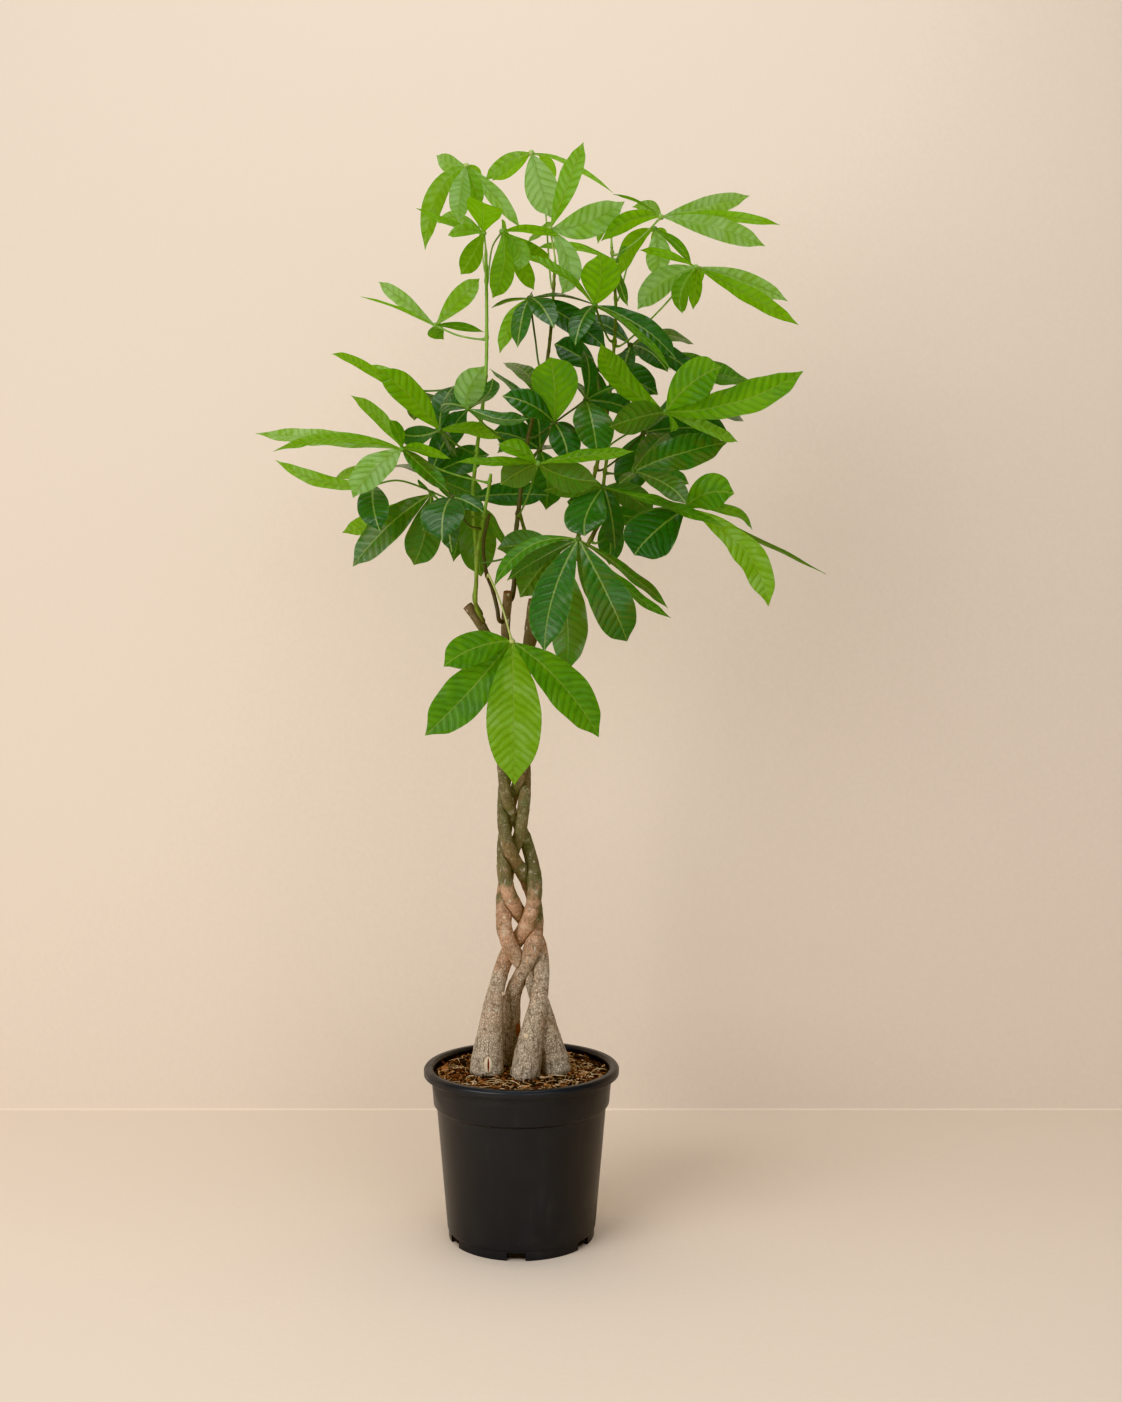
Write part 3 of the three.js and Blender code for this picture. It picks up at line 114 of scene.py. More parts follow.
class Finish:
    """A material or a shader group under construction: each method adds one node and gives its output."""

    def __init__(self, tree):
        self.tree = tree

    def add(self, kind, **settings):
        made = self.tree.nodes.new(kind)
        for key, value in settings.items():
            setattr(made, key, value)
        return made

    def feed(self, socket, value):
        if isinstance(value, bpy.types.NodeSocket):
            self.tree.links.new(value, socket)
        else:
            socket.default_value = value

    def sum(self, operation, *values, clamp=False):
        made = self.add("ShaderNodeMath", operation=operation, use_clamp=clamp)
        for socket, value in zip(made.inputs, values):
            self.feed(socket, value)
        return made.outputs[0]

    def span(self, value, low, high, to_low=0.0, to_high=1.0):
        made = self.add("ShaderNodeMapRange", interpolation_type="SMOOTHSTEP")
        for socket, part in zip(made.inputs, (value, low, high, to_low, to_high)):
            self.feed(socket, part)
        return made.outputs[0]

    def blend(self, share, first, second):
        made = self.add("ShaderNodeMix", data_type="RGBA")
        self.feed(made.inputs[0], share)
        self.feed(made.inputs[6], first)
        self.feed(made.inputs[7], second)
        return made.outputs[2]

    def cloud(self, place, scale, detail=3.0, rough=0.5, swirl=0.0):
        made = self.add("ShaderNodeTexNoise")
        self.feed(made.inputs["Vector"], place)
        self.feed(made.inputs["Scale"], scale)
        self.feed(made.inputs["Detail"], detail)
        self.feed(made.inputs["Roughness"], rough)
        self.feed(made.inputs["Distortion"], swirl)
        return made.outputs[0]

    def cells(self, place, scale, feature="DISTANCE_TO_EDGE"):
        made = self.add("ShaderNodeTexVoronoi", feature=feature)
        self.feed(made.inputs["Vector"], place)
        self.feed(made.inputs["Scale"], scale)
        return made.outputs["Distance"]

    def stretch(self, place, factors):
        made = self.add("ShaderNodeVectorMath", operation="MULTIPLY")
        self.feed(made.inputs[0], place)
        made.inputs[1].default_value = factors
        return made.outputs[0]

    def place(self):
        return self.add("ShaderNodeTexCoord").outputs["Object"]

    def part(self, vector, axis):
        made = self.add("ShaderNodeSeparateXYZ")
        self.feed(made.inputs[0], vector)
        return made.outputs["XYZ".index(axis)]

    def mark(self, name, output="Fac"):
        made = self.add("ShaderNodeAttribute", attribute_name=name)
        return made.outputs[output]

    def relief(self, height, distance, strength=1.0):
        made = self.add("ShaderNodeBump")
        made.inputs["Strength"].default_value = strength
        made.inputs["Distance"].default_value = distance
        self.feed(made.inputs["Height"], height)
        return made.outputs["Normal"]

    def tones(self, share, stops):
        made = self.add("ShaderNodeValToRGB")
        ramp = made.color_ramp
        while len(ramp.elements) < len(stops):
            ramp.elements.new(0.5)
        for element, (spot, colour) in zip(ramp.elements, stops):
            element.position = spot
            element.color = (*colour, 1)
        self.feed(made.inputs[0], share)
        return made.outputs[0]

    def group(self, tree, **values):
        made = self.add("ShaderNodeGroup", node_tree=tree)
        for key, value in values.items():
            self.feed(made.inputs[key.replace("_", " ")], value)
        return made.outputs


def new_material(name):
    material = bpy.data.materials.new(name)
    material.use_nodes = True
    finish = Finish(material.node_tree)
    body = material.node_tree.nodes["Principled BSDF"]
    return material, finish, body


def new_group(name, inputs, outputs):
    """An empty shader group with float inputs and their usual values, and float outputs."""
    tree = bpy.data.node_groups.new(name, "ShaderNodeTree")
    for label, usual in inputs.items():
        kind = "NodeSocketVector" if usual is None else "NodeSocketFloat"
        socket = tree.interface.new_socket(label, in_out="INPUT", socket_type=kind)
        if usual is not None:
            socket.default_value = usual
    for label in outputs:
        tree.interface.new_socket(label, in_out="OUTPUT", socket_type="NodeSocketFloat")
    finish = Finish(tree)
    return tree, finish, finish.add("NodeGroupInput").outputs, finish.add("NodeGroupOutput").inputs


# Wear and dirt that several finishes share: broad patches, and a fine grain that stands up in them.
weathering, craft, given, handed = new_group(
    "weathering",
    {"Place": None, "Patch Scale": 20.0, "Grain Scale": 400.0, "Cover": 0.5},
    ("Patches", "Grain"),
)
broad = craft.cloud(given["Place"], given["Patch Scale"], detail=5.0, rough=0.6, swirl=0.4)
PATCH_EDGE = 0.12
edge = craft.sum("SUBTRACT", 1.0, given["Cover"])
outer, inner = craft.sum("SUBTRACT", edge, PATCH_EDGE), craft.sum("ADD", edge, PATCH_EDGE)
craft.feed(handed["Patches"], craft.span(broad, outer, inner))
craft.feed(handed["Grain"], craft.cloud(given["Place"], given["Grain Scale"], detail=2.0, rough=0.55))

pot_plastic, craft, body = new_material("pot_plastic")
here = craft.place()
wear = craft.group(weathering, Place=here, Patch_Scale=14.0, Grain_Scale=1500.0, Cover=0.4)
streaks = craft.cloud(craft.stretch(here, (60.0, 60.0, 9.0)), 1.0, detail=6.0, rough=0.65)
dust = craft.sum("MULTIPLY", craft.span(streaks, 0.55, 0.8), 0.3)
low_dust = craft.span(craft.part(here, "Z"), 0.05, 0.0, 0.0, 0.3)
black = craft.blend(wear["Patches"], (0.0165, 0.0195, 0.024, 1), (0.021, 0.025, 0.03, 1))
dusty = craft.sum("ADD", dust, craft.sum("MULTIPLY", low_dust, wear["Patches"]), clamp=True)
craft.feed(body.inputs["Base Color"], craft.blend(dusty, black, (0.055, 0.052, 0.048, 1)))
satin = craft.span(craft.sum("ADD", wear["Patches"], dust), 0.0, 1.3, 0.36, 0.52)
craft.feed(body.inputs["Roughness"], satin)
moulded = craft.sum("MULTIPLY", craft.sum("ADD", wear["Grain"], streaks), 0.5)
craft.feed(body.inputs["Normal"], craft.relief(moulded, 0.0002, 0.5))


def rounded(outline, radius, steps=4):
    """An outline of (radius, height) corners with each inner corner turned into a short bow."""
    soft = [outline[0]]
    for before, corner, after in zip(outline, outline[1:], outline[2:]):
        corner, before, after = Vector(corner), Vector(before), Vector(after)
        reach = min(radius, (before - corner).length * 0.45, (after - corner).length * 0.45)
        start = corner + (before - corner).normalized() * reach
        end = corner + (after - corner).normalized() * reach
        for step in range(steps + 1):
            share = step / steps
            soft.append(tuple(start.lerp(corner, share).lerp(corner.lerp(end, share), share)))
    soft.append(outline[-1])
    return soft


def turned(outline, sides):
    """Rings of points for an outline of (radius, height) turned round the tree's upright axis."""
    angles = np.arange(sides) / sides * math.tau
    around = np.stack([np.cos(angles), np.sin(angles)], 1)
    return np.array([[(*(way * radius), height) for way in around] for radius, height in outline])


collar_low = COLLAR_HEIGHT - 3 * MM
shoulder_height = COLLAR_HEIGHT + SHOULDER_BLEND
wall_outside = [
    (FOOT_RADIUS, 0.0),
    (FOOT_RADIUS + 0.2 * MM, FOOT_HEIGHT - 0.9 * MM),
    (FOOT_RADIUS + 1.6 * MM, FOOT_HEIGHT),
    (BODY_RADIUS, collar_low),
    (BODY_RADIUS + COLLAR_STEP, COLLAR_HEIGHT),
    (SHOULDER_RADIUS, shoulder_height),
    (SHOULDER_RADIUS, POT_HEIGHT - RIM_THICKNESS),
]
rim = [
    (RIM_RADIUS - RIM_THICKNESS, POT_HEIGHT - RIM_THICKNESS),
    (RIM_RADIUS - RIM_THICKNESS, POT_HEIGHT - RIM_DROP),
    (RIM_RADIUS - 0.2 * MM, POT_HEIGHT - RIM_DROP),
    (RIM_RADIUS, POT_HEIGHT - 3 * MM),
    (RIM_RADIUS - 2.6 * MM, POT_HEIGHT),
    (SHOULDER_RADIUS + 1.0 * MM, POT_HEIGHT),
]


def inside_radius(height):
    """The wall's inner radius at a height."""
    for (low_radius, low), (high_radius, high) in zip(wall_outside, wall_outside[1:]):
        if height <= high:
            share = (height - low) / (high - low)
            return low_radius + (high_radius - low_radius) * share - POT_WALL
    return SHOULDER_RADIUS - POT_WALL


wall_inside = [
    (inside_radius(height), height)
    for height in (POT_HEIGHT - 3 * MM, shoulder_height, COLLAR_HEIGHT, collar_low, POT_FLOOR)
]
pot_outline = [(20 * MM, 0.0), *wall_outside, *rim, *wall_inside, (20 * MM, POT_FLOOR)]
pot_points, pot_faces = close_skin(turned(rounded(pot_outline, 1.1 * MM), POT_SIDES))
pot = make_piece("nursery_pot", pot_points, pot_faces, [pot_plastic], "pot_plastic", "pot", sharp=35)


def cut_box(piece, size, matrix):
    """Cuts a box out of a piece and keeps the piece's own edges."""
    corners = [Vector((x, y, z)) * 0.5 for x in (-1, 1) for y in (-1, 1) for z in (-1, 1)]
    points = [matrix @ Vector(a * b for a, b in zip(corner, size)) for corner in corners]
    sides = [(0, 1, 3, 2), (4, 6, 7, 5), (0, 4, 5, 1), (2, 3, 7, 6), (0, 2, 6, 4), (1, 5, 7, 3)]
    mesh = bpy.data.meshes.new("cutter")
    mesh.from_pydata(points, [], sides)
    cutter = bpy.data.objects.new("cutter", mesh)
    bpy.context.scene.collection.objects.link(cutter)
    cut = piece.modifiers.new("cut", "BOOLEAN")
    cut.object = cutter
    cut.operation = "DIFFERENCE"
    cut.solver = "EXACT"
    graph = bpy.context.evaluated_depsgraph_get()
    finished = bpy.data.meshes.new_from_object(piece.evaluated_get(graph))
    piece.modifiers.clear()
    piece.data = finished
    bpy.data.objects.remove(cutter)
    finished.set_sharp_from_angle(angle=math.radians(35))


for slot in range(SLOT_COUNT):
    turn = Matrix.Rotation(FIRST_SLOT + slot * math.tau / SLOT_COUNT, 4, "Z")
    depth = SLOT_REACH + 10 * MM
    middle = FOOT_RADIUS - POT_WALL - SLOT_REACH + depth / 2
    cut_box(pot, (depth, SLOT_WIDTH, SLOT_HEIGHT * 2), turn @ Matrix.Translation((middle, 0, 0)))


# ----------------------------------------------------------------------------------------------- soil
# The pot is filled with a mix of composted bark and coir. It is one packed bed, with loose bark chips,
# pale fibres and white grains of perlite lying on top, a finger's width below the rim.

SOIL_LEVEL = 197 * MM
SOIL_HEAP = 3 * MM
SOIL_GAP = 0.3 * MM
CHIP_COUNT = 3300
CHUNK_COUNT = 130
GRAIN_COUNT = 60
FIBRE_COUNT = 240


def soil_height(x, y):
    """The bed's surface: a low heap with lumps the size of a thumb and of a pea."""
    away = math.hypot(x, y)
    lumps = noise.noise(Vector((x * 34, y * 34, 3.1))) * 2.2 + noise.noise(Vector((x * 110, y * 110, 7.7)))
    return SOIL_LEVEL + SOIL_HEAP * (1 - away / BODY_RADIUS) + lumps * MM


soil_mix, craft, body = new_material("soil_mix")
here = craft.place()
wear = craft.group(weathering, Place=here, Patch_Scale=90.0, Grain_Scale=900.0, Cover=0.5)
patchy = craft.sum("MULTIPLY", wear["Patches"], 0.45)
tone = craft.sum("ADD", patchy, craft.sum("MULTIPLY", wear["Grain"], 0.5))
soil_tones = [(0.0, (0.008, 0.004, 0.002)), (0.5, (0.035, 0.015, 0.007)), (1.0, (0.1, 0.045, 0.018))]
# Painted shade: below the surface the bed fades to near black, so the soil seen through the drain slots
# looks as dark as the shaded inside of the pot.
painted_slot_shade = craft.span(craft.part(here, "Z"), 0.16, 0.02, 0.0, 0.96)
crumbs = craft.tones(tone, soil_tones)
craft.feed(body.inputs["Base Color"], craft.blend(painted_slot_shade, crumbs, (0.004, 0.003, 0.002, 1)))
body.inputs["Roughness"].default_value = 0.95
craft.feed(body.inputs["Normal"], craft.relief(wear["Grain"], 0.0016))

bed_outline = [(10 * MM, POT_FLOOR + SOIL_GAP)]
for height in (POT_FLOOR + SOIL_GAP, collar_low, COLLAR_HEIGHT, shoulder_height, SOIL_LEVEL):
    bed_outline.append((inside_radius(height) - SOIL_GAP, height))
bed_edge = bed_outline[-1][0]
bed_outline += [(bed_edge * (1 - step / 34), SOIL_LEVEL) for step in range(1, 33)]
bed_rings = turned(bed_outline, 120)
for ring in bed_rings[6:]:
    for point in ring:
        point[2] = soil_height(point[0], point[1])
bed_points, bed_faces = close_skin(bed_rings)
make_piece("soil_bed", bed_points, bed_faces, [soil_mix], "bark_soil", "soil", sharp=60)

# Each trunk's foot in the soil, across and near in millimetres, with its radius there. Loose bits lie
# round the trunks and never in them.
TRUNK_FEET = [(-41, -14, 21), (-14, 24, 15), (5, -34, 18.5), (42, -12, 17.5)]


def open_soil(draw, reach):
    """A random spot on the soil that no trunk stands on."""
    while True:
        away = reach * math.sqrt(draw.random())
        angle = draw.uniform(0, math.tau)
        x, y = away * math.cos(angle), away * math.sin(angle)
        if all(math.hypot(x - a * MM, y - b * MM) > (r + 1.5) * MM for a, b, r in TRUNK_FEET):
            return x, y


def loose_bits(seed, count, long_range, width_share, thick_share, lie, lift, ends=(0.5, 0.55)):
    """Many small bits as one mesh: each a block of four rough rings, longer than it is wide."""
    draw = random.Random(seed)
    points, faces, tones = [], [], []
    for index in range(count):
        long = draw.uniform(*long_range) * (0.6 + 0.8 * draw.random() ** 2) * MM
        wide = long * draw.uniform(*width_share)
        thick = max(long * draw.uniform(*thick_share), 0.9 * MM)
        x, y = open_soil(draw, bed_edge - long / 2 - 1 * MM)
        rise = soil_height(x, y) + draw.uniform(*lift) * MM
        turn = Matrix.Rotation(draw.uniform(0, math.tau), 4, "Z")
        pitch = Matrix.Rotation(draw.gauss(0, lie), 4, "Y")
        roll = Matrix.Rotation(draw.gauss(0, lie * 1.5), 4, "X")
        seat = Matrix.Translation((x, y, rise)) @ turn @ (pitch @ roll)
        bow = draw.uniform(-0.25, 0.25) * long
        first = len(points)
        for spot, girth in ((-0.5, ends[0]), (-0.2, 0.95), (0.17, 1.0), (0.5, ends[1])):
            for side in range(6):
                angle = (side + draw.uniform(-0.3, 0.3)) / 6 * math.tau
                size = girth * draw.uniform(0.75, 1.15) * 0.5
                across = bow * (spot * spot * 4 - 0.5) + wide * size * math.cos(angle)
                points.append(seat @ Vector((long * spot, across, thick * size * math.sin(angle))))
        rings = np.arange(24).reshape(4, 6) + first
        for low, high in zip(rings, rings[1:]):
            for side in range(6):
                after = (side + 1) % 6
                faces.append((low[side], low[after], high[after], high[side]))
        faces.append(tuple(rings[0][::-1]))
        faces.append(tuple(rings[3]))
        tones += [draw.random()] * 24
    return points, [tuple(int(corner) for corner in face) for face in faces], tones


bark_chip, craft, body = new_material("bark_chip")
here = craft.place()
tone = craft.mark("tone")
wear = craft.group(weathering, Place=here, Patch_Scale=160.0, Grain_Scale=1400.0, Cover=0.45)
fibrous = craft.cloud(craft.stretch(here, (300.0, 900.0, 900.0)), 1.0, detail=3.0)
streaky = craft.sum("MULTIPLY", craft.sum("SUBTRACT", fibrous, 0.5), 0.5)
shade = craft.sum("ADD", tone, streaky, clamp=True)
chip_tones = [
    (0.0, (0.004, 0.0015, 0.001)), (0.36, (0.022, 0.006, 0.0025)), (0.6, (0.11, 0.034, 0.013)),
    (0.8, (0.34, 0.14, 0.055)), (0.92, (0.56, 0.32, 0.16)), (1.0, (0.86, 0.68, 0.46)),
]
craft.feed(body.inputs["Base Color"], craft.tones(shade, chip_tones))
craft.feed(body.inputs["Roughness"], craft.span(wear["Patches"], 0.0, 1.0, 0.62, 0.9))
craft.feed(body.inputs["Normal"], craft.relief(craft.sum("ADD", fibrous, wear["Grain"]), 0.0006))
chip_points, chip_faces, chip_tone = loose_bits(
    11, CHIP_COUNT, (3.5, 11), (0.2, 0.5), (0.16, 0.32), 0.45, (-0.8, 3.2)
)
make_piece("bark_chips", chip_points, chip_faces, [bark_chip], "bark_soil", marks={"tone": chip_tone})
chunk_points, chunk_faces, chunk_tone = loose_bits(
    17, CHUNK_COUNT, (11, 17), (0.3, 0.55), (0.2, 0.3), 0.3, (1.2, 3.4)
)
make_piece("bark_chunks", chunk_points, chunk_faces, [bark_chip], "bark_soil", marks={"tone": chunk_tone})

perlite, craft, body = new_material("perlite")
wear = craft.group(weathering, Place=craft.place(), Patch_Scale=500.0, Grain_Scale=1800.0, Cover=0.5)
craft.feed(body.inputs["Base Color"], craft.blend(wear["Patches"], (0.6, 0.52, 0.4, 1), (0.4, 0.3, 0.2, 1)))
body.inputs["Roughness"].default_value = 0.9
craft.feed(body.inputs["Normal"], craft.relief(wear["Grain"], 0.0008))
grain_points, grain_faces, _ = loose_bits(
    23, GRAIN_COUNT, (1.8, 3.6), (0.7, 1.0), (0.6, 0.9), 0.8, (1.2, 3.0), ends=(0.6, 0.5)
)
make_piece("perlite_grains", grain_points, grain_faces, [perlite], "bark_soil")

coir_fibre, craft, body = new_material("coir_fibre")
tint = craft.cloud(craft.place(), 60.0, detail=2.0)
fibre_tones = [(0.3, (0.3, 0.18, 0.09)), (0.7, (0.75, 0.58, 0.38))]
craft.feed(body.inputs["Base Color"], craft.tones(tint, fibre_tones))
body.inputs["Roughness"].default_value = 0.8


def tube_rings(path, radii, sides):
    """Round rings square to a path, each turned no more than it has to be from the one before."""
    path = np.asarray(path, float)
    ways = np.gradient(path, axis=0)
    ways /= np.linalg.norm(ways, axis=1, keepdims=True)
    first = np.cross(ways[0], (0.0, 0.0, 1.0) if abs(ways[0][2]) < 0.9 else (1.0, 0.0, 0.0))
    angles = np.arange(sides) / sides * math.tau
    rings = []
    for centre, way, radius in zip(path, ways, np.broadcast_to(radii, len(path))):
        first = first - way * first.dot(way)
        first /= np.linalg.norm(first)
        second = np.cross(way, first)
        rings.append(centre + radius * (np.outer(np.cos(angles), first) + np.outer(np.sin(angles), second)))
    return np.array(rings)


def join_skins(skins):
    """Several closed skins as the points and faces of one mesh."""
    points, faces = [], []
    for skin_points, skin_faces in skins:
        first = len(points)
        points.extend(skin_points)
        faces.extend(tuple(corner + first for corner in face) for face in skin_faces)
    return points, faces


draw = random.Random(31)
fibres = []
for index in range(FIBRE_COUNT):
    x, y = open_soil(draw, bed_edge - 12 * MM)
    heading, bend = draw.uniform(0, math.tau), draw.uniform(-40, 40)
    step, path = draw.uniform(1.2, 3.8) * MM, []
    for part in range(9):
        rise = soil_height(x, y) + (2.6 + 1.5 * math.sin(part / 8 * math.pi)) * MM
        path.append((x, y, rise))
        x, y = x + step * math.cos(heading), y + step * math.sin(heading)
        heading += bend * step
    inside = all(math.hypot(x, y) < bed_edge - 2 * MM for x, y, z in path)
    clear = all(math.hypot(p[0] - a * MM, p[1] - b * MM) > r * MM for p in path for a, b, r in TRUNK_FEET)
    if inside and clear:
        fibres.append(close_skin(tube_rings(path, draw.uniform(0.25, 0.6) * MM, 5)))
make_piece("coir_fibres", *join_skins(fibres), [coir_fibre], "bark_soil")


# --------------------------------------------------------------------------------------------- trunks
# Four young trunks were plaited together and have grown flat against each other. Their swollen feet
# stand in the soil, their bark goes from grey-beige through red-brown to olive, and each is cut off on top.

PLAIT_BOTTOM = 390 * MM
PLAIT_TOP = 688 * MM
PLAIT_PERIOD = 295.6 * MM
PLAIT_CROSSING_HEIGHT = 510.4 * MM
PLAIT_DEPTH = 17 * MM
FLARE_TOP = 318 * MM
TRUNK_BOTTOM = 152 * MM
PRESS_GAP = 0.35 * MM
TRUNK_RINGS = 320
TRUNK_SIDES = 40

# Each trunk: its share of a turn in the plait, its foot, how far it leans aside above it, its foot's
# radius, where its cut top is seen, and its radius there.
TRUNKS = {
    "front_left": (0.0, (-41, 14), 0, 21.0, (14, 779, 12), 5.8),
    "back_right": (0.2, (-14, -24), 1, 15.0, (36, 772, -30), 5.6),
    "front_middle": (0.4, (5, 34), 12, 18.5, (-17, 789, 20), 5.6),
    "front_right": (0.6, (42, 12), -10, 17.5, (-67, 772, -6), 6.2),
}

# A reading gives across, up and near (how far in front of the trunks) as an eye in front of the tree
# sees it, and what is nearer looks further from the middle of the view than it is.
EYE_DISTANCE = 1710
EYE_ACROSS = 48.5
EYE_HEIGHT = 654.5


def seen(across, up, near):
    """The place of a reading, in metres."""
    shrink = (EYE_DISTANCE - near) / EYE_DISTANCE
    x = EYE_ACROSS + (across - EYE_ACROSS) * shrink
    z = EYE_HEIGHT + (up - EYE_HEIGHT) * shrink
    return np.array((x, -near, z)) * MM


def ease(share):
    share = min(1.0, max(0.0, share))
    return share * share * (3 - 2 * share)


def between(first, second, share):
    return first + (second - first) * share


def trunk_centre(name, height):
    turn, foot, lean, base, top, thin = TRUNKS[name]
    turns = (PLAIT_CROSSING_HEIGHT - height) / PLAIT_PERIOD - turn
    swing = math.sin(turns * math.tau)
    narrowing = ease((height - 400 * MM) / (145 * MM))
    reach = between(20, 13.7, narrowing) * math.copysign(abs(swing) ** 0.8, swing)
    across = (between(-2.2, -9.2, narrowing) + reach) * MM
    centre = np.array((across, PLAIT_DEPTH * math.sin(turns * 2 * math.tau), height))
    down = min(1.0, max(0.0, (PLAIT_BOTTOM - height) / (PLAIT_BOTTOM - SOIL_LEVEL - 8 * MM)))
    centre = between(centre, np.array((foot[0] * MM, -foot[1] * MM, height)), ease(down))
    centre[0] += lean * MM * math.sin(down * math.pi)
    if height > PLAIT_TOP:
        end = seen(*top)
        bend = min(1.0, ((height - PLAIT_TOP) / (end[2] - PLAIT_TOP)) ** 1.25)
        centre = between(centre, np.array((end[0], end[1], height)), bend)
    return centre


def trunk_radius(name, height):
    turn, foot, lean, base, top, thin = TRUNKS[name]
    flare = ease((FLARE_TOP - height) / (FLARE_TOP - SOIL_LEVEL))
    plaited = between(9.8, 7.2, ease((height - 360 * MM) / (200 * MM)))
    upper = between(plaited, thin, ease((height - PLAIT_TOP) / (40 * MM)))
    return between(upper, base, flare) * MM


def trunk_path(name, count):
    top = seen(*TRUNKS[name][4])[2]
    return np.array([trunk_centre(name, height) for height in np.linspace(TRUNK_BOTTOM, top, count)])


trunk_paths = {name: trunk_path(name, 240) for name in TRUNKS}


def press_flat(rings, centres, own):
    """Stops each point half way to the middle line of any trunk that its own trunk leans on."""
    flat = rings.reshape(-1, 3)
    middle = np.repeat(centres, rings.shape[1], axis=0)
    for other, path in trunk_paths.items():
        if other == own:
            continue
        for first in range(0, len(flat), 2000):
            part, home = flat[first:first + 2000], middle[first:first + 2000]
            nearest = path[np.linalg.norm(part[:, None] - path[None], axis=2).argmin(axis=1)]
            across = nearest - home
            length = np.linalg.norm(across, axis=1)
            across /= length[:, None]
            over = ((part - home) * across).sum(axis=1) - (length / 2 - PRESS_GAP)
            part -= across * np.maximum(over, 0)[:, None]
    return flat.reshape(rings.shape)


trunk_bark, craft, body = new_material("trunk_bark")
here = craft.place()
height = craft.part(here, "Z")
drift = craft.cloud(here, 22.0, detail=4.0, rough=0.6)
climb = craft.sum("ADD", height, craft.span(drift, 0.3, 0.7, -0.05, 0.05))
bark_tones = [
    (0.2, (0.7, 0.59, 0.45)), (0.3, (0.66, 0.52, 0.38)), (0.335, (0.62, 0.42, 0.28)),
    (0.375, (0.66, 0.4, 0.255)), (0.405, (0.5, 0.31, 0.19)), (0.43, (0.2, 0.19, 0.09)),
    (0.52, (0.18, 0.17, 0.08)), (0.58, (0.24, 0.18, 0.1)), (0.8, (0.18, 0.13, 0.07)),
]
ground = craft.tones(climb, bark_tones)
wear = craft.group(weathering, Place=here, Patch_Scale=34.0, Grain_Scale=900.0, Cover=0.4)
rusty = craft.sum("MULTIPLY", wear["Patches"], craft.span(height, 0.26, 0.34, 0.1, 0.4))
flesh = craft.blend(rusty, ground, (0.38, 0.19, 0.1, 1))
moss = craft.cloud(craft.stretch(here, (1.0, 1.0, 0.6)), 48.0, detail=3.0)
mossy = craft.sum("MULTIPLY", craft.span(moss, 0.52, 0.66), craft.span(height, 0.395, 0.45, 0.0, 0.55))
flesh = craft.blend(mossy, flesh, (0.1, 0.14, 0.045, 1))
blotch = craft.cloud(here, 120.0, detail=5.0, rough=0.7, swirl=0.6)
flesh = craft.blend(craft.span(blotch, 0.36, 0.52, 0.5, 0.0), flesh, (0.13, 0.09, 0.055, 1))
flesh = craft.blend(craft.span(blotch, 0.54, 0.7, 0.0, 0.5), flesh, (0.78, 0.69, 0.54, 1))
net_cells = craft.cells(craft.stretch(here, (1.0, 1.0, 0.7)), 380.0)
net = craft.sum("MULTIPLY", craft.span(net_cells, 0.13, 0.03), craft.span(height, 0.3, 0.42, 0.55, 0.2))
flesh = craft.blend(net, flesh, (0.13, 0.09, 0.055, 1))
pores = craft.cells(craft.stretch(here, (1.0, 1.0, 0.7)), 620.0, feature="F1")
pore = craft.span(pores, 0.28, 0.12)
flesh = craft.blend(craft.sum("MULTIPLY", pore, 0.5), flesh, (0.62, 0.53, 0.4, 1))
flecks_noise = craft.cloud(craft.stretch(here, (230.0, 230.0, 120.0)), 1.0, detail=0.0)
flecks = craft.span(flecks_noise, 0.75, 0.8)
flecked = craft.blend(craft.sum("MULTIPLY", flecks, 0.75), flesh, (0.7, 0.64, 0.5, 1))
spots = craft.cells(craft.stretch(here, (1.0, 1.0, 0.7)), 44.0, feature="F1")
spot = craft.span(craft.sum("ADD", spots, craft.sum("MULTIPLY", blotch, 0.1)), 0.15, 0.115)
spotted = craft.blend(craft.sum("MULTIPLY", spot, 0.8), flecked, (0.68, 0.6, 0.46, 1))
crease = craft.cloud(craft.stretch(here, (70.0, 70.0, 520.0)), 1.0, detail=3.0, rough=0.6)
creased = craft.blend(craft.span(crease, 0.56, 0.7, 0.0, 0.45), spotted, (0.12, 0.075, 0.045, 1))
split = craft.cloud(craft.stretch(here, (330.0, 330.0, 36.0)), 1.0, detail=4.0, rough=0.65)
split_share = craft.sum("MULTIPLY", craft.span(split, 0.57, 0.66), craft.span(height, 0.2, 0.36, 0.6, 0.25))
split_up = craft.blend(split_share, creased, (0.12, 0.08, 0.05, 1))
buried = craft.span(height, 0.208, 0.197, 0.0, 0.75)
craft.feed(body.inputs["Base Color"], craft.blend(buried, split_up, (0.05, 0.026, 0.012, 1)))
craft.feed(body.inputs["Roughness"], craft.span(wear["Grain"], 0.3, 0.7, 0.62, 0.85))
rise = craft.sum("ADD", craft.sum("MULTIPLY", crease, -1.0), craft.sum("MULTIPLY", blotch, 1.6))
rise = craft.sum("ADD", rise, craft.sum("MULTIPLY", craft.sum("ADD", split_share, net), -1.0))
rise = craft.sum("ADD", rise, craft.sum("MULTIPLY", craft.sum("ADD", wear["Grain"], pore), 0.4))
rise = craft.sum("ADD", rise, craft.sum("MULTIPLY", craft.sum("ADD", flecks, spot), 0.6))
craft.feed(body.inputs["Normal"], craft.relief(rise, 0.0014, 1.0))

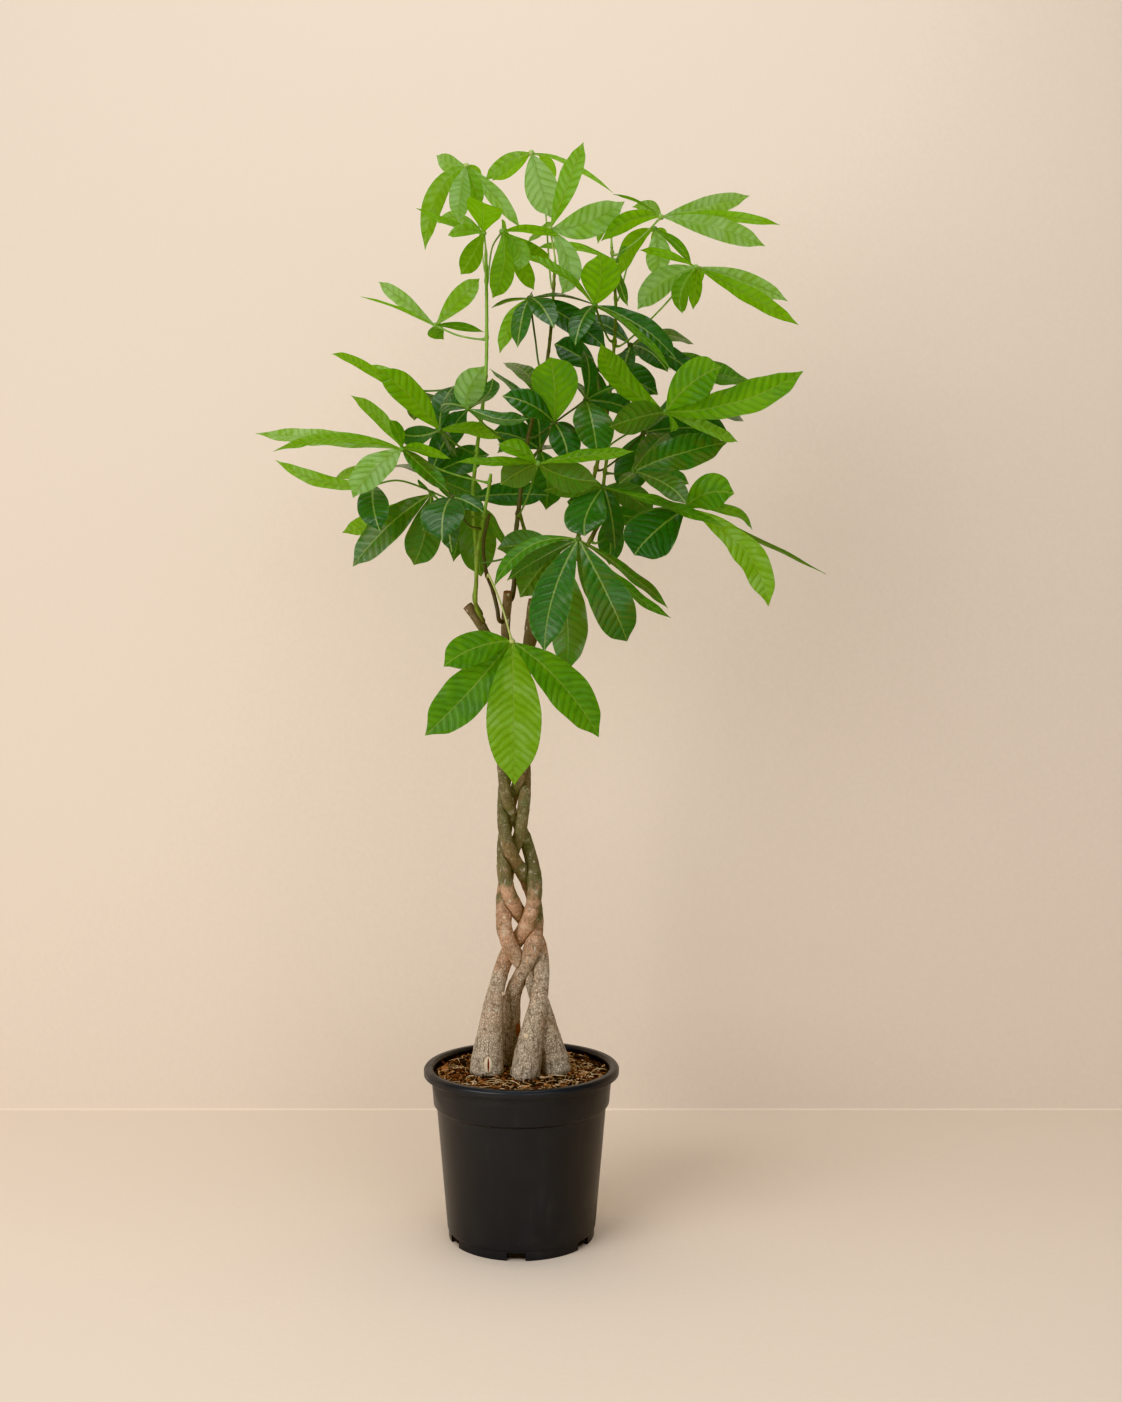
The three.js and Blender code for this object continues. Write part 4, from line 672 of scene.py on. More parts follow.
cut_wood, craft, body = new_material("cut_wood")
here = craft.place()
wear = craft.group(weathering, Place=here, Patch_Scale=220.0, Grain_Scale=1500.0, Cover=0.5)
cut_tones = [(0.0, (0.12, 0.05, 0.025)), (0.5, (0.3, 0.14, 0.075)), (1.0, (0.46, 0.27, 0.15))]
tint = craft.sum("MULTIPLY", craft.sum("ADD", wear["Patches"], wear["Grain"]), 0.5)
craft.feed(body.inputs["Base Color"], craft.tones(tint, cut_tones))
body.inputs["Roughness"].default_value = 0.9
craft.feed(body.inputs["Normal"], craft.relief(wear["Grain"], 0.0012))


def bark_relief(point, height, seed):
    """How far the bark stands out of the round: swellings, old leaf scars and wrinkles, in metres."""
    place = Vector(point)
    swell = noise.noise(place * 24 + Vector((seed, 0, 0))) * 1.5
    lumps = noise.noise(place * 80 + Vector((0, seed, 0))) * 0.85
    scar_at = (height / MM + seed * 17) % 43 - 21
    scar = math.exp(-(scar_at / 2.2) ** 2) * 0.7 if height > 300 * MM else 0.0
    wrinkle = noise.noise(Vector((place.x * 60, place.y * 60, place.z * 330))) * 0.4
    ridge = abs(noise.noise(Vector((place.x * 210, place.y * 210, place.z * 26)))) * -0.8
    return (swell + lumps + scar + wrinkle + ridge) * MM


def trunk_skin(name, seed):
    centres = trunk_path(name, TRUNK_RINGS)
    radii = np.array([trunk_radius(name, centre[2]) for centre in centres])
    rings = tube_rings(centres, radii, TRUNK_SIDES)
    for ring, centre, radius in zip(rings, centres, radii):
        foot = ease((FLARE_TOP - centre[2]) / (FLARE_TOP - SOIL_LEVEL))
        for side, point in enumerate(ring):
            way = (point - centre) / radius
            flute = math.sin(side / TRUNK_SIDES * math.tau * 3 + seed) * foot * 0.9 * MM
            point += way * (bark_relief(point, centre[2], seed) * (0.55 + 0.45 * foot) + flute)
    rings = press_flat(rings, centres, name)
    rim_ring, middle = rings[-1].copy(), centres[-1]
    draw = random.Random(seed)
    worn = []
    for share, drop in ((0.82, -0.5), (0.55, 0.8), (0.25, 0.2)):
        rough = np.array([draw.uniform(-0.5, 0.5) for side in range(TRUNK_SIDES)])
        ring = middle + (rim_ring - middle) * share
        ring[:, 2] += (drop + rough) * MM
        worn.append(ring)
    return close_skin(np.concatenate([rings, np.array(worn)]))


for seed, name in enumerate(TRUNKS, start=3):
    points, faces = trunk_skin(name, seed)
    bark_faces = (TRUNK_RINGS - 1) * TRUNK_SIDES
    which = [int(bark_faces <= index != len(faces) - 2) for index in range(len(faces))]
    make_piece(
        f"trunk_{name}_bark", points, faces, [trunk_bark, cut_wood], "trunk_bark", f"trunk_{name}",
        sharp=70, face_material=which,
    )


# ----------------------------------------------------------------------------------------- old wounds
# Where low twigs were taken off, the bark has healed over the wood in small lenses. The largest one is
# cream-coloured, with a dark red slit down its middle where its two lips meet.

# Each wound: its trunk, its height, how far it sits to the side of the trunk's middle line, its half
# width and half height, all in millimetres, and its tone from cream (0) to red-brown (1).
WOUNDS = {
    "slit": ("front_left", 215, 1.5, 5.2, 10, 0.0),
    "round": ("front_middle", 252, -6.5, 3.4, 3.4, 0.12),
    "stub": ("back_right", 246, 9.5, 3.6, 8.5, 1.0),
    "high": ("front_left", 296, 9.0, 2.0, 2.6, 0.1),
    "plait": ("front_right", 391, 1.0, 2.6, 2.8, 0.15),
    "bend": ("back_right", 338, -1.0, 2.2, 4.2, 0.45),
}

LENS_RISE = 1.9 * MM
SLIT_DEPTH = 1.3 * MM
SLIT_HALF_WIDTH = 1.1 * MM

scar_lips, craft, body = new_material("scar_lips")
tone = craft.mark("tone")
lens = craft.mark("lens", "Vector")
up_share = craft.part(lens, "Y")
narrowing = craft.sum("SUBTRACT", 1.0, craft.sum("MULTIPLY", up_share, up_share))
half_gap = craft.sum("MULTIPLY", narrowing, SLIT_HALF_WIDTH)
from_lip = craft.sum("SUBTRACT", craft.sum("ABSOLUTE", craft.part(lens, "X")), half_gap)
slit = craft.sum("MULTIPLY", craft.span(from_lip, 0.0002, -0.0003), craft.part(lens, "Z"))
wear = craft.group(weathering, Place=craft.place(), Patch_Scale=260.0, Grain_Scale=1500.0, Cover=0.4)
worn = craft.sum("ADD", tone, craft.sum("MULTIPLY", wear["Patches"], 0.2), clamp=True)
lip_tones = [(0.0, (0.72, 0.6, 0.42)), (0.4, (0.52, 0.36, 0.22)), (1.0, (0.3, 0.11, 0.055))]
lips = craft.tones(worn, lip_tones)
craft.feed(body.inputs["Base Color"], craft.blend(slit, lips, (0.16, 0.012, 0.01, 1)))
body.inputs["Roughness"].default_value = 0.7
craft.feed(body.inputs["Normal"], craft.relief(wear["Grain"], 0.0006))


def add_wound(name, trunk, height, aside, half_width, half_height, tone):
    """A flat lens of healed bark on a trunk's front, sunk half its thickness into it."""
    centre, radius = trunk_centre(trunk, height * MM), trunk_radius(trunk, height * MM)
    lean = math.asin(aside * MM / radius)
    out = np.array((math.sin(lean), -math.cos(lean), 0.0))
    side, up = np.cross((0.0, 0.0, 1.0), out), np.array((0.0, 0.0, 1.0))
    seat = centre + out * radius
    turns = 36
    reaches = [*np.linspace(0.08, 1.0, 7), *np.linspace(1.25, 3.0, 5)]
    points, lens = [], []
    for reach in reaches:
        for turn in range(turns):
            angle = turn / turns * math.tau
            across = half_width * MM * math.sin(reach) * math.cos(angle)
            along = half_height * MM * math.sin(reach) * math.sin(angle)
            narrow = 1 - (along / (half_height * MM)) ** 2
            slit = (tone == 0.0) * (reach < math.pi / 2)
            closed = math.exp(-(across / (0.9 * MM)) ** 2) * narrow * slit
            rise = LENS_RISE * math.cos(reach) - SLIT_DEPTH * closed
            points.append(seat - side * across + up * along + out * rise)
            lens.append((across, along / (half_height * MM), slit))
    points, faces = close_skin(np.array(points).reshape(len(reaches), turns, 3))
    make_piece(
        f"wound_{name}", points, faces, [scar_lips], "trunk_bark", sharp=80,
        marks={"tone": [tone] * len(points), "lens": lens},
    )


for name, wound in WOUNDS.items():
    add_wound(name, *wound)


# --------------------------------------------------------------------------------------- green shoots
# Seven green shoots broke from the tops of the trunks. Each is one smooth tapering stem with a swollen
# ring and a small crescent scar wherever it carries, or once carried, a leaf.

SHOOT_SIDES = 14
SHOOT_RING_STEP = 2.5 * MM
SEAT_SINK = 0.8 * MM

# Each shoot: its trunk, the height where it starts, its radius at foot and tip, its tone from fresh
# green (0) to brown (1), the heights where leaf stalks leave its side, and the readings that it
# passes through.
SHOOTS = {
    "left_low": ("front_right", 752, 2.6, 1.9, 0.3, (920, 876, 862, 822), [
        (-56, 770, 10), (-56, 800, 18), (-54, 840, 27), (-49, 872, 29), (-43, 902, 26), (-38, 933, 22)]),
    "left_tall": ("front_right", 758, 2.6, 1.9, 0.12, (1186, 1170, 1100, 1052, 960, 896, 906, 900), [
        (-58, 778, -18), (-56, 800, -24), (-56, 840, -24), (-59, 880, -16), (-60, 910, -8), (-55, 965, -2),
        (-49, 1010, 0), (-44, 1060, 2), (-43, 1124, 2), (-44, 1206, 2)]),
    "middle_tall": ("front_middle", 776, 3.2, 1.7, 0.7, (1166, 1062, 962, 944, 980, 884), [
        (-9, 800, 4), (-8, 850, -4), (-2, 905, -6), (2, 945, -4), (13, 1000, 0),
        (30, 1066, 0), (36, 1112, 0), (41, 1193, 0)]),
    "middle_low": ("front_middle", 750, 2.6, 2.0, 0.95, (806,), [
        (-30, 768, 26), (-36, 792, 18), (-44, 815, 6), (-47, 850, -4), (-40, 884, -8)]),
    "right_low": ("front_left", 768, 3.2, 1.9, 0.6, (872, 934, 850, 800), [
        (25, 786, 16), (52, 815, 14), (80, 845, 12), (96, 880, 12), (100, 915, 10), (106, 962, 6)]),
    "right_tall": ("back_right", 762, 3.2, 1.6, 0.5, (1206, 1150, 1096, 1168, 1100, 1050, 1020, 946, 846), [
        (48, 780, -36), (62, 830, -46), (84, 910, -44), (104, 1000, -30), (113, 1080, -16),
        (116, 1140, -6), (113, 1184, -2), (111, 1214, -4)]),
    "back": ("back_right", 742, 3.2, 1.9, 0.6, (), [
        (24, 772, -54), (14, 830, -66), (-3, 890, -74), (-6, 930, -80)]),
}


def smooth_way(stops, step):
    """Evenly spaced places on a curve that passes through the stops without overshooting."""
    stops = [np.asarray(stop, float) for stop in stops]
    stops = [2 * stops[0] - stops[1], *stops, 2 * stops[-1] - stops[-2]]
    places = [stops[1]]
    for a, b, c, d in zip(stops, stops[1:], stops[2:], stops[3:]):
        t1 = np.linalg.norm(b - a) ** 0.5
        t2 = t1 + np.linalg.norm(c - b) ** 0.5
        t3 = t2 + np.linalg.norm(d - c) ** 0.5
        for t in np.linspace(t1, t2, 25)[1:]:
            ab = a + (b - a) * t / t1
            bc = b + (c - b) * (t - t1) / (t2 - t1)
            cd = c + (d - c) * (t - t2) / (t3 - t2)
            abc = ab + (bc - ab) * t / t2
            bcd = bc + (cd - bc) * (t - t1) / (t3 - t1)
            places.append(abc + (bcd - abc) * (t - t1) / (t2 - t1))
    places = np.array(places)
    run = np.concatenate([[0], np.cumsum(np.linalg.norm(np.diff(places, axis=0), axis=1))])
    spots = np.linspace(0, run[-1], max(4, round(run[-1] / step)))
    return np.stack([np.interp(spots, run, places[:, axis]) for axis in range(3)], 1)


def side_seat(path, radius_at, height, target, own):
    """Where a stem of this thickness grows out of the side of another one, turned towards a target."""
    index = int(np.abs(path[:, 2] - height).argmin())
    centre = path[index]
    along = path[min(index + 1, len(path) - 1)] - path[max(index - 1, 0)]
    along /= np.linalg.norm(along)
    out = target - centre
    out -= along * out.dot(along)
    out /= np.linalg.norm(out)
    radius = radius_at(centre[2])
    return centre + out * (radius - SEAT_SINK), centre + out * (radius + own * 2.4)


green_stem, craft, body = new_material("green_stem")
here = craft.place()
tone = craft.mark("tone")
wear = craft.group(weathering, Place=here, Patch_Scale=70.0, Grain_Scale=900.0, Cover=0.45)
worn = craft.sum("MULTIPLY", craft.sum("SUBTRACT", wear["Patches"], 0.5), 0.3)
shade = craft.sum("ADD", tone, worn, clamp=True)
stem_tones = [
    (0.0, (0.2, 0.36, 0.05)), (0.3, (0.17, 0.24, 0.035)),
    (0.6, (0.09, 0.085, 0.022)), (1.0, (0.05, 0.03, 0.014)),
]
streak = craft.cloud(craft.stretch(here, (700.0, 700.0, 40.0)), 1.0, detail=2.0)
streaky = craft.span(streak, 0.45, 0.75, 0.0, 0.35)
stem_colour = craft.blend(streaky, craft.tones(shade, stem_tones), (0.1, 0.07, 0.03, 1))
craft.feed(body.inputs["Base Color"], stem_colour)
craft.feed(body.inputs["Roughness"], craft.span(wear["Grain"], 0.3, 0.7, 0.4, 0.6))
craft.feed(body.inputs["Normal"], craft.relief(craft.sum("ADD", streak, wear["Grain"]), 0.0003, 0.7))

shoot_paths, shoot_radii = {}, {}
for name, (trunk, start, thick, thin, tone, nodes, stops) in SHOOTS.items():
    stops = [seen(*stop) for stop in stops]
    own_radius = lambda height, trunk=trunk: trunk_radius(trunk, height)
    seat, clear = side_seat(trunk_paths[trunk], own_radius, start * MM, stops[0], thick * MM)
    path = smooth_way([seat, clear, *stops], SHOOT_RING_STEP)
    shoot_paths[name] = path
    shoot_radii[name] = between(thick, thin, np.linspace(0, 1, len(path))) * MM

# Where each stalk leaves its shoot, the shoot has a swollen ring, and old leaves left flatter ones.
NODE_SWELLING = 0.9 * MM
NODE_LENGTH = 2.6 * MM
SCAR_SWELLING = 0.35 * MM


def shoot_skin(name, nodes):
    path, radii = shoot_paths[name], shoot_radii[name].copy()
    for height in nodes:
        radii += NODE_SWELLING * np.exp(-((path[:, 2] - height * MM - 2 * MM) / NODE_LENGTH) ** 2)
    run = np.arange(len(path)) * SHOOT_RING_STEP
    scars = np.cos(run / (31 * MM) * math.tau + len(name)) ** 16
    radii += SCAR_SWELLING * scars * (run > 30 * MM)
    radii[0] *= 0.9
    rings = tube_rings(path, radii, SHOOT_SIDES)
    way = path[-1] - path[-2]
    way /= np.linalg.norm(way)
    ends = []
    for share, out in ((0.86, 0.35), (0.6, 0.7), (0.25, 0.9)):
        ends.append(path[-1] + (rings[-1] - path[-1]) * share + way * radii[-1] * out)
    return close_skin(np.concatenate([rings, np.array(ends)])), len(path) + len(ends)


for name, (trunk, start, thick, thin, tone, nodes, stops) in SHOOTS.items():
    (points, faces), count = shoot_skin(name, nodes)
    share = np.repeat(np.linspace(0, 1, count), SHOOT_SIDES)
    woody_foot = 3 * np.clip(0.12 - share, 0, 1)
    shade = np.clip(tone + 0.35 * (0.5 - share) + woody_foot, 0, 1)
    make_piece(
        f"shoot_{name}_stem", points, faces, [green_stem], "green_stem", f"shoot_{name}",
        marks={"tone": shade},
    )


# --------------------------------------------------------------------------------------------- leaves
# Every leaf is a hand of leaflets on one stalk. The blades are thin and leathery, folded a little along
# a raised midrib and puckered between the side veins. Young ones are yellow-green, old ones deep green.

STALK_RADIUS = 1.3 * MM
STALK_SAG = 0.06
STALK_TIP_RUN = 5 * MM
STALK_SIDES = 10
STALK_STEP = 3 * MM
KNOB_RADIUS = 3.9 * MM
BLADE_THICKNESS = 0.5 * MM
BLADE_ARCH = 0.06
BLADE_SPREAD = 0.16
BLADE_STEP = 2.1 * MM
BLADE_ACROSS = 14
RIB_HALF_WIDTH = 1.15 * MM
PUCKER_RISE = 0.55 * MM
VEIN_SPACING = 10.5 * MM
VEIN_SLANT = 0.55
VEIN_CURVE = 9.0

# Each leaf: its shoot, the height where its stalk leaves it, its hub, a place that the stalk passes, and
# its leaflets. A leaflet is its tip across, up and near, its width, its turn in degrees (0 shows its
# upper face to the front, 180 its underside), its tone from old (0) to young (1), raised on the middle
# leaflet of low_front as painted sheen, and a place that its midrib bows towards.
LEAVES = {
    "top_left": {
        "on": "left_tall", "start": 1186, "hub": (-68, 1314, -30), "by": (-60, 1292, -72),
        "young": True,
        "leaflets": [
            (-105, 1327, -56, 22, 150, 0.95, (-91, 1311, -48)),
            (-119, 1210, -24, 27, 150, 0.85, (-114, 1296, -34)),
            (-78, 1246, 34, 27, 168, 0.95),
            (-50, 1264, -22, 20, 160, 0.75),
            (-2, 1238, -62, 26, 130, 0.95, (-36, 1281, -46)),
            (-49, 1303, -72, 9, 100, 0.8),
        ],
    },
    "top_middle": {
        "on": "middle_tall", "start": 1166, "hub": (12, 1330, -32), "by": (24, 1304, -74),
        "young": True,
        "leaflets": [
            (-45, 1296, -28, 20, 135, 0.88, (-18, 1324, -32)),
            (36, 1250, -30, 42, 172, 1),
            (112, 1281, -40, 15, 100, 0.92, (60, 1324, -36)),
            (30, 1290, -110, 24, 100, 0.75, (42, 1326, -62)),
            (-36, 1296, -100, 18, 120, 0.8, (-14, 1308, -66)),
        ],
    },
    "top_right": {
        "on": "middle_tall", "start": "tip", "hub": (35, 1236, 10),
        "young": True,
        "leaflets": [
            (76, 1343, 50, 30, 25, 0.82, (59, 1294, 36)),
            (10, 1226, -66, 39, 20, 0.74, (28, 1231, -28)),
            (127, 1270, 12, 38, 152, 0.95, (77, 1233, 20)),
            (49, 1156, 20, 32, 150, 1, (74, 1188, 30)),
        ],
    },
    "high_left": {
        "on": "left_tall", "start": "tip", "hub": (-47, 1231, 8),
        "young": True,
        "leaflets": [
            (-46, 1268, 78, 44, 172, 0.74),
            (-130, 1262, -12, 16, 104, 0.78, (-92, 1240, 0)),
            (-75, 1180, 30, 27, 150, 0.72, (-58, 1203, 34)),
            (-91, 1228, 36, 17, 130, 0.9),
            (-103, 1243, -84, 18, 100, 0.9),
        ],
    },
    "high_middle": {
        "on": "left_tall", "start": 1170, "hub": (-24, 1233, -12), "by": (-36, 1214, -48),
        "young": True,
        "leaflets": [
            (-36, 1151, 26, 30, 165, 0.72, (-14, 1188, 24)),
            (-4, 1185, 20, 24, 165, 0.85, (10, 1208, 2)),
            (15, 1161, -12, 22, 155, 0.7, (0, 1190, -18)),
            (38, 1195, -64, 21, 140, 0.68, (8, 1207, -38)),
            (49, 1227, 34, 17, 108, 0.74, (14, 1240, 6)),
            (-16, 1230, -110, 27, 100, 0.72),
        ],
    },
    "far_right_top": {
        "on": "right_tall", "start": 1206, "hub": (172, 1251, -6),
        "young": True,
        "leaflets": [
            (281, 1277, -70, 24, 148, 0.96, (227, 1263, -30)),
            (318, 1241, -10, 18, 112, 0.82, (251, 1257, -8)),
            (300, 1215, 60, 27, 152, 0.95, (239, 1243, 30)),
            (98, 1221, 20, 24, 140, 0.76, (132, 1257, 10)),
            (136, 1263, -90, 15, 120, 0.9),
            (113, 1279, -42, 8, 94, 0.6, (146, 1272, -26)),
        ],
    },
    "right_hanging": {
        "on": "right_tall", "start": 1150, "hub": (164, 1236, -34), "by": (142, 1222, -72),
        "young": True,
        "leaflets": [
            (121, 1178, -30, 26, 140, 0.74, (132, 1228, -30)),
            (166, 1178, -12, 32, 166, 0.95),
            (209, 1193, -14, 16, 120, 0.6),
            (170, 1214, -112, 22, 100, 0.7),
        ],
    },
    "right_high": {
        "on": "right_tall", "start": 1096, "hub": (215, 1189, 4), "by": (170, 1136, -26),
        "young": True,
        "leaflets": [
            (143, 1137, 26, 33, 158, 0.98, (169, 1180, 20)),
            (198, 1132, 46, 26, 150, 0.74, (187, 1158, 30)),
            (211, 1137, -20, 19, 155, 0.72),
            (219, 1165, -58, 13, 150, 0.7),
            (341, 1118, 2, 24, 128, 0.75, (278, 1156, 4)),
            (328, 1147, -36, 22, 150, 0.95, (273, 1179, -18)),
            (146, 1210, 14, 15, 108, 0.76, (178, 1209, 10)),
        ],
    },
    "right_tuft": {
        "on": "right_tall", "start": "tip", "hub": (111, 1240, -10),
        "young": True,
        "leaflets": [
            (106, 1268, -18, 8, 150, 0.85),
            (97, 1260, -2, 8, 120, 0.8),
            (94, 1218, -8, 10, 30, 0.85, (98, 1240, -8)),
            (116, 1262, 6, 7, 110, 0.8),
        ],
    },
    "right_upper": {
        "on": "right_tall", "start": 1168, "hub": (116, 1197, 14),
        "young": True,
        "leaflets": [
            (20, 1213, -22, 17, 106, 0.88, (64, 1222, -2)),
            (130, 1212, 34, 13, 50, 0.5),
            (131, 1141, 14, 16, 40, 0.4, (117, 1170, 22)),
        ],
    },
    "upper_right": {
        "on": "right_tall", "start": 1100, "hub": (90, 1142, 16),
        "young": False,
        "leaflets": [
            (96, 1206, 58, 48, 172, 0.72, (101, 1172, 40)),
            (2, 1203, 52, 24, 50, 0.8, (52, 1191, 52)),
            (184, 1062, 64, 19, 55, 0.6, (140, 1120, 58)),
            (190, 1076, 22, 34, 30, 0.2, (150, 1124, 16)),
            (66, 1093, 60, 30, 20, 0.2),
        ],
    },
    "upper_middle": {
        "on": "middle_tall", "start": 1062, "hub": (10, 1151, 18),
        "young": False,
        "leaflets": [
            (-27, 1083, 26, 24, 35, 0.8),
            (-5, 1090, 48, 26, 20, 0.3),
            (-37, 1139, 4, 12, 95, 0.35, (-16, 1150, 12)),
            (92, 1142, 6, 24, 65, 0.1, (48, 1160, 22)),
            (104, 1088, 36, 42, 25, 0.08, (62, 1130, 30)),
            (40, 1114, 70, 30, 20, 0.14),
            (16, 1140, -92, 26, 90, 0.2, (12, 1148, -34)),
        ],
    },
    "right_star": {
        "on": "right_tall", "start": 1050, "hub": (134, 1093, -26),
        "young": False,
        "leaflets": [
            (180, 1060, 14, 32, 20, 0.1),
            (280, 1050, -100, 44, 35, 0.5, (226, 1058, -62)),
            (226, 1044, -20, 30, 20, 0.14),
            (212, 1094, -90, 26, 40, 0.4),
            (118, 1032, 10, 27, 20, 0.1),
            (70, 1124, -60, 28, 30, 0.12),
        ],
    },
    "far_left_top": {
        "on": "left_tall", "start": 1100, "hub": (-106, 1117, -12),
        "young": True,
        "leaflets": [
            (-176, 1171, -16, 20, 145, 0.95),
            (-198, 1153, 18, 13, 98, 0.85, (-150, 1140, 6)),
            (-52, 1175, 22, 26, 148, 0.88, (-76, 1151, 8)),
            (-46, 1109, -34, 14, 120, 0.55),
            (-96, 1100, -84, 22, 110, 0.55),
        ],
    },
    "left_behind": {
        "on": "left_tall", "start": 1052, "hub": (-125, 1036, -42),
        "young": False,
        "leaflets": [
            (-191, 1069, -70, 20, 40, 0.85, (-163, 1056, -58)),
            (-132, 1000, -62, 22, 30, 0.35),
            (-96, 1020, -96, 24, 90, 0.3),
            (-160, 1034, -108, 22, 90, 0.3),
        ],
    },
    "left_upper": {
        "on": "left_tall", "start": 960, "hub": (-101, 988, 26),
        "young": False,
        "leaflets": [
            (-234, 1082, -6, 17, 122, 0.74, (-190, 1078, 4)),
            (-178, 1064, 70, 40, 30, 0.72, (-133, 1031, 54)),
            (-23, 977, 30, 34, 45, 0.74, (-63, 995, 28)),
            (-150, 984, -14, 28, 20, 0.2, (-126, 976, -2)),
            (-82, 1043, -6, 30, 20, 0.15),
            (-80, 956, -30, 26, 60, 0.2),
        ],
    },
    "left_middle": {
        "on": "left_low", "start": 920, "hub": (-147, 965, 36),
        "young": False,
        "leaflets": [
            (-306, 962, 26, 28, 52, 0.76, (-230, 992, 30)),
            (-328, 984, -74, 34, 40, 0.92, (-240, 979, -50)),
            (-210, 1031, -12, 20, 140, 0.85, (-163, 1000, 8)),
            (-163, 1001, 60, 22, 55, 0.6, (-148, 983, 52)),
            (-208, 905, 78, 46, 20, 0.95, (-182, 947, 66)),
            (-88, 953, 74, 22, 120, 0.7),
            (-90, 912, 56, 27, 40, 0.45),
        ],
    },
    "left_far_low": {
        "on": "left_tall", "start": 896, "hub": (-182, 921, 14), "by": (-150, 926, 4),
        "young": False,
        "leaflets": [
            (-303, 951, 2, 20, 140, 0.85, (-244, 913, 10)),
            (-231, 926, -44, 26, 40, 0.85, (-214, 946, -16)),
            (-175, 864, 82, 38, 10, 0.2, (-188, 902, 66)),
        ],
    },
    "left_low_broad": {
        "on": "left_low", "start": 876, "hub": (-111, 910, 34), "by": (-78, 884, 50),
        "young": False,
        "leaflets": [
            (-208, 820, 20, 42, 15, 0.4, (-168, 876, 34)),
            (-133, 822, 6, 44, 160, 0.36, (-117, 852, 14)),
            (-126, 920, 92, 17, 40, 0.3),
            (-221, 862, -40, 28, 150, 0.85, (-180, 872, -30)),
        ],
    },
    "left_glossy": {
        "on": "left_low", "start": 862, "hub": (-86, 905, 62), "by": (-66, 872, 58),
        "young": False,
        "leaflets": [
            (-98, 852, 118, 52, 15, 0.15),
            (-122, 864, 60, 26, 30, 0.14),
            (-86, 838, 40, 28, 20, 0.12),
            (-46, 886, 84, 26, 30, 0.15),
        ],
    },
    "left_inner": {
        "on": "middle_tall", "start": 962, "hub": (-66, 1015, 62), "by": (-40, 990, 58),
        "young": False,
        "leaflets": [
            (-46, 1067, 34, 36, 168, 0.97, (-75, 1034, 52)),
            (-36, 1052, 6, 24, 30, 0.35, (-34, 1030, 22)),
            (10, 1003, 92, 32, 45, 0.3, (-24, 994, 92)),
            (-100, 1018, 30, 30, 25, 0.2),
        ],
    },
    "middle_upper": {
        "on": "middle_tall", "start": 944, "hub": (40, 997, 54),
        "young": False,
        "leaflets": [
            (35, 1078, 96, 56, 168, 0.62),
            (-39, 1064, 30, 20, 60, 0.2, (-5, 1034, 42)),
            (58, 948, 74, 38, 20, 0.12),
            (70, 966, 14, 24, 40, 0.1),
            (-23, 1071, -60, 27, 30, 0.4),
            (-24, 1030, 90, 34, 20, 0.2),
        ],
    },
    "middle_star": {
        "on": "middle_tall", "start": 980, "hub": (79, 1025, 30), "by": (44, 1000, 20),
        "young": False,
        "leaflets": [
            (76, 1086, 12, 24, 30, 0.2),
            (118, 1042, 46, 10, 40, 0.25),
            (93, 956, 78, 50, 12, 0.35, (88, 1004, 62)),
            (140, 1008, 8, 28, 20, 0.2),
            (50, 1048, -30, 16, 40, 0.3),
        ],
    },
    "middle_front": {
        "on": "middle_tall", "start": 884, "hub": (20, 947, 98),
        "young": False,
        "leaflets": [
            (-80, 949, 110, 22, 48, 0.68, (-30, 950, 106)),
            (-29, 971, 102, 36, 50, 0.7),
            (138, 962, 100, 27, 52, 0.7, (73, 957, 108)),
            (-26, 921, 66, 36, 158, 0.4),
            (94, 925, 78, 38, 150, 0.42, (52, 926, 76)),
        ],
    },
    "right_inner": {
        "on": "right_low", "start": 872, "hub": (101, 918, 50),
        "young": False,
        "leaflets": [
            (28, 913, 32, 34, 152, 0.42),
            (78, 858, 66, 54, 25, 0.3, (72, 884, 62)),
            (250, 869, 82, 30, 58, 0.55, (178, 898, 74)),
            (115, 842, 22, 30, 20, 0.2),
            (162, 884, 14, 34, 150, 0.3),
        ],
    },
    "right_grey": {
        "on": "right_low", "start": 934, "hub": (138, 937, 28),
        "young": False,
        "leaflets": [
            (253, 973, -6, 46, 20, 0.35, (183, 960, 20)),
            (206, 922, 36, 24, 30, 0.35),
            (203, 897, 96, 30, 25, 0.4),
            (120, 922, 62, 17, 40, 0.4),
            (182, 985, -50, 34, 20, 0.35, (160, 972, -26)),
        ],
    },
    "right_light": {
        "on": "right_low", "start": "tip", "hub": (177, 1010, 62),
        "young": False,
        "leaflets": [
            (347, 1061, 80, 44, 25, 0.66, (268, 1010, 90)),
            (246, 1066, 108, 50, 15, 0.63, (207, 1054, 84)),
            (98, 1095, 100, 42, 30, 0.72, (102, 1051, 86)),
            (108, 992, 96, 40, 148, 0.4),
            (266, 974, 24, 24, 38, 0.85, (233, 990, 46)),
            (272, 1001, -70, 36, 20, 0.2),
            (184, 986, 112, 17, 60, 0.6),
        ],
    },
    "right_low_broad": {
        "on": "right_low", "start": 850, "hub": (203, 893, 42), "by": (150, 888, 24),
        "young": False,
        "leaflets": [
            (262, 910, 62, 46, 20, 0.6, (224, 919, 58)),
            (284, 866, 26, 28, 50, 0.6, (268, 898, 36)),
            (304, 771, 62, 42, 32, 0.85, (295, 848, 60)),
            (139, 834, 84, 60, 10, 0.15, (150, 856, 78)),
            (375, 811, -20, 12, 105, 0.4, (266, 866, -12)),
        ],
    },
    "low_right": {
        "on": "left_low", "start": 822, "hub": (70, 854, 104), "by": (14, 838, 46),
        "young": False,
        "leaflets": [
            (-34, 795, 130, 24, 40, 0.5, (-4, 862, 130)),
            (-18, 803, 104, 26, 140, 0.25, (18, 832, 110)),
            (28, 716, 144, 46, 12, 0.3, (29, 786, 140)),
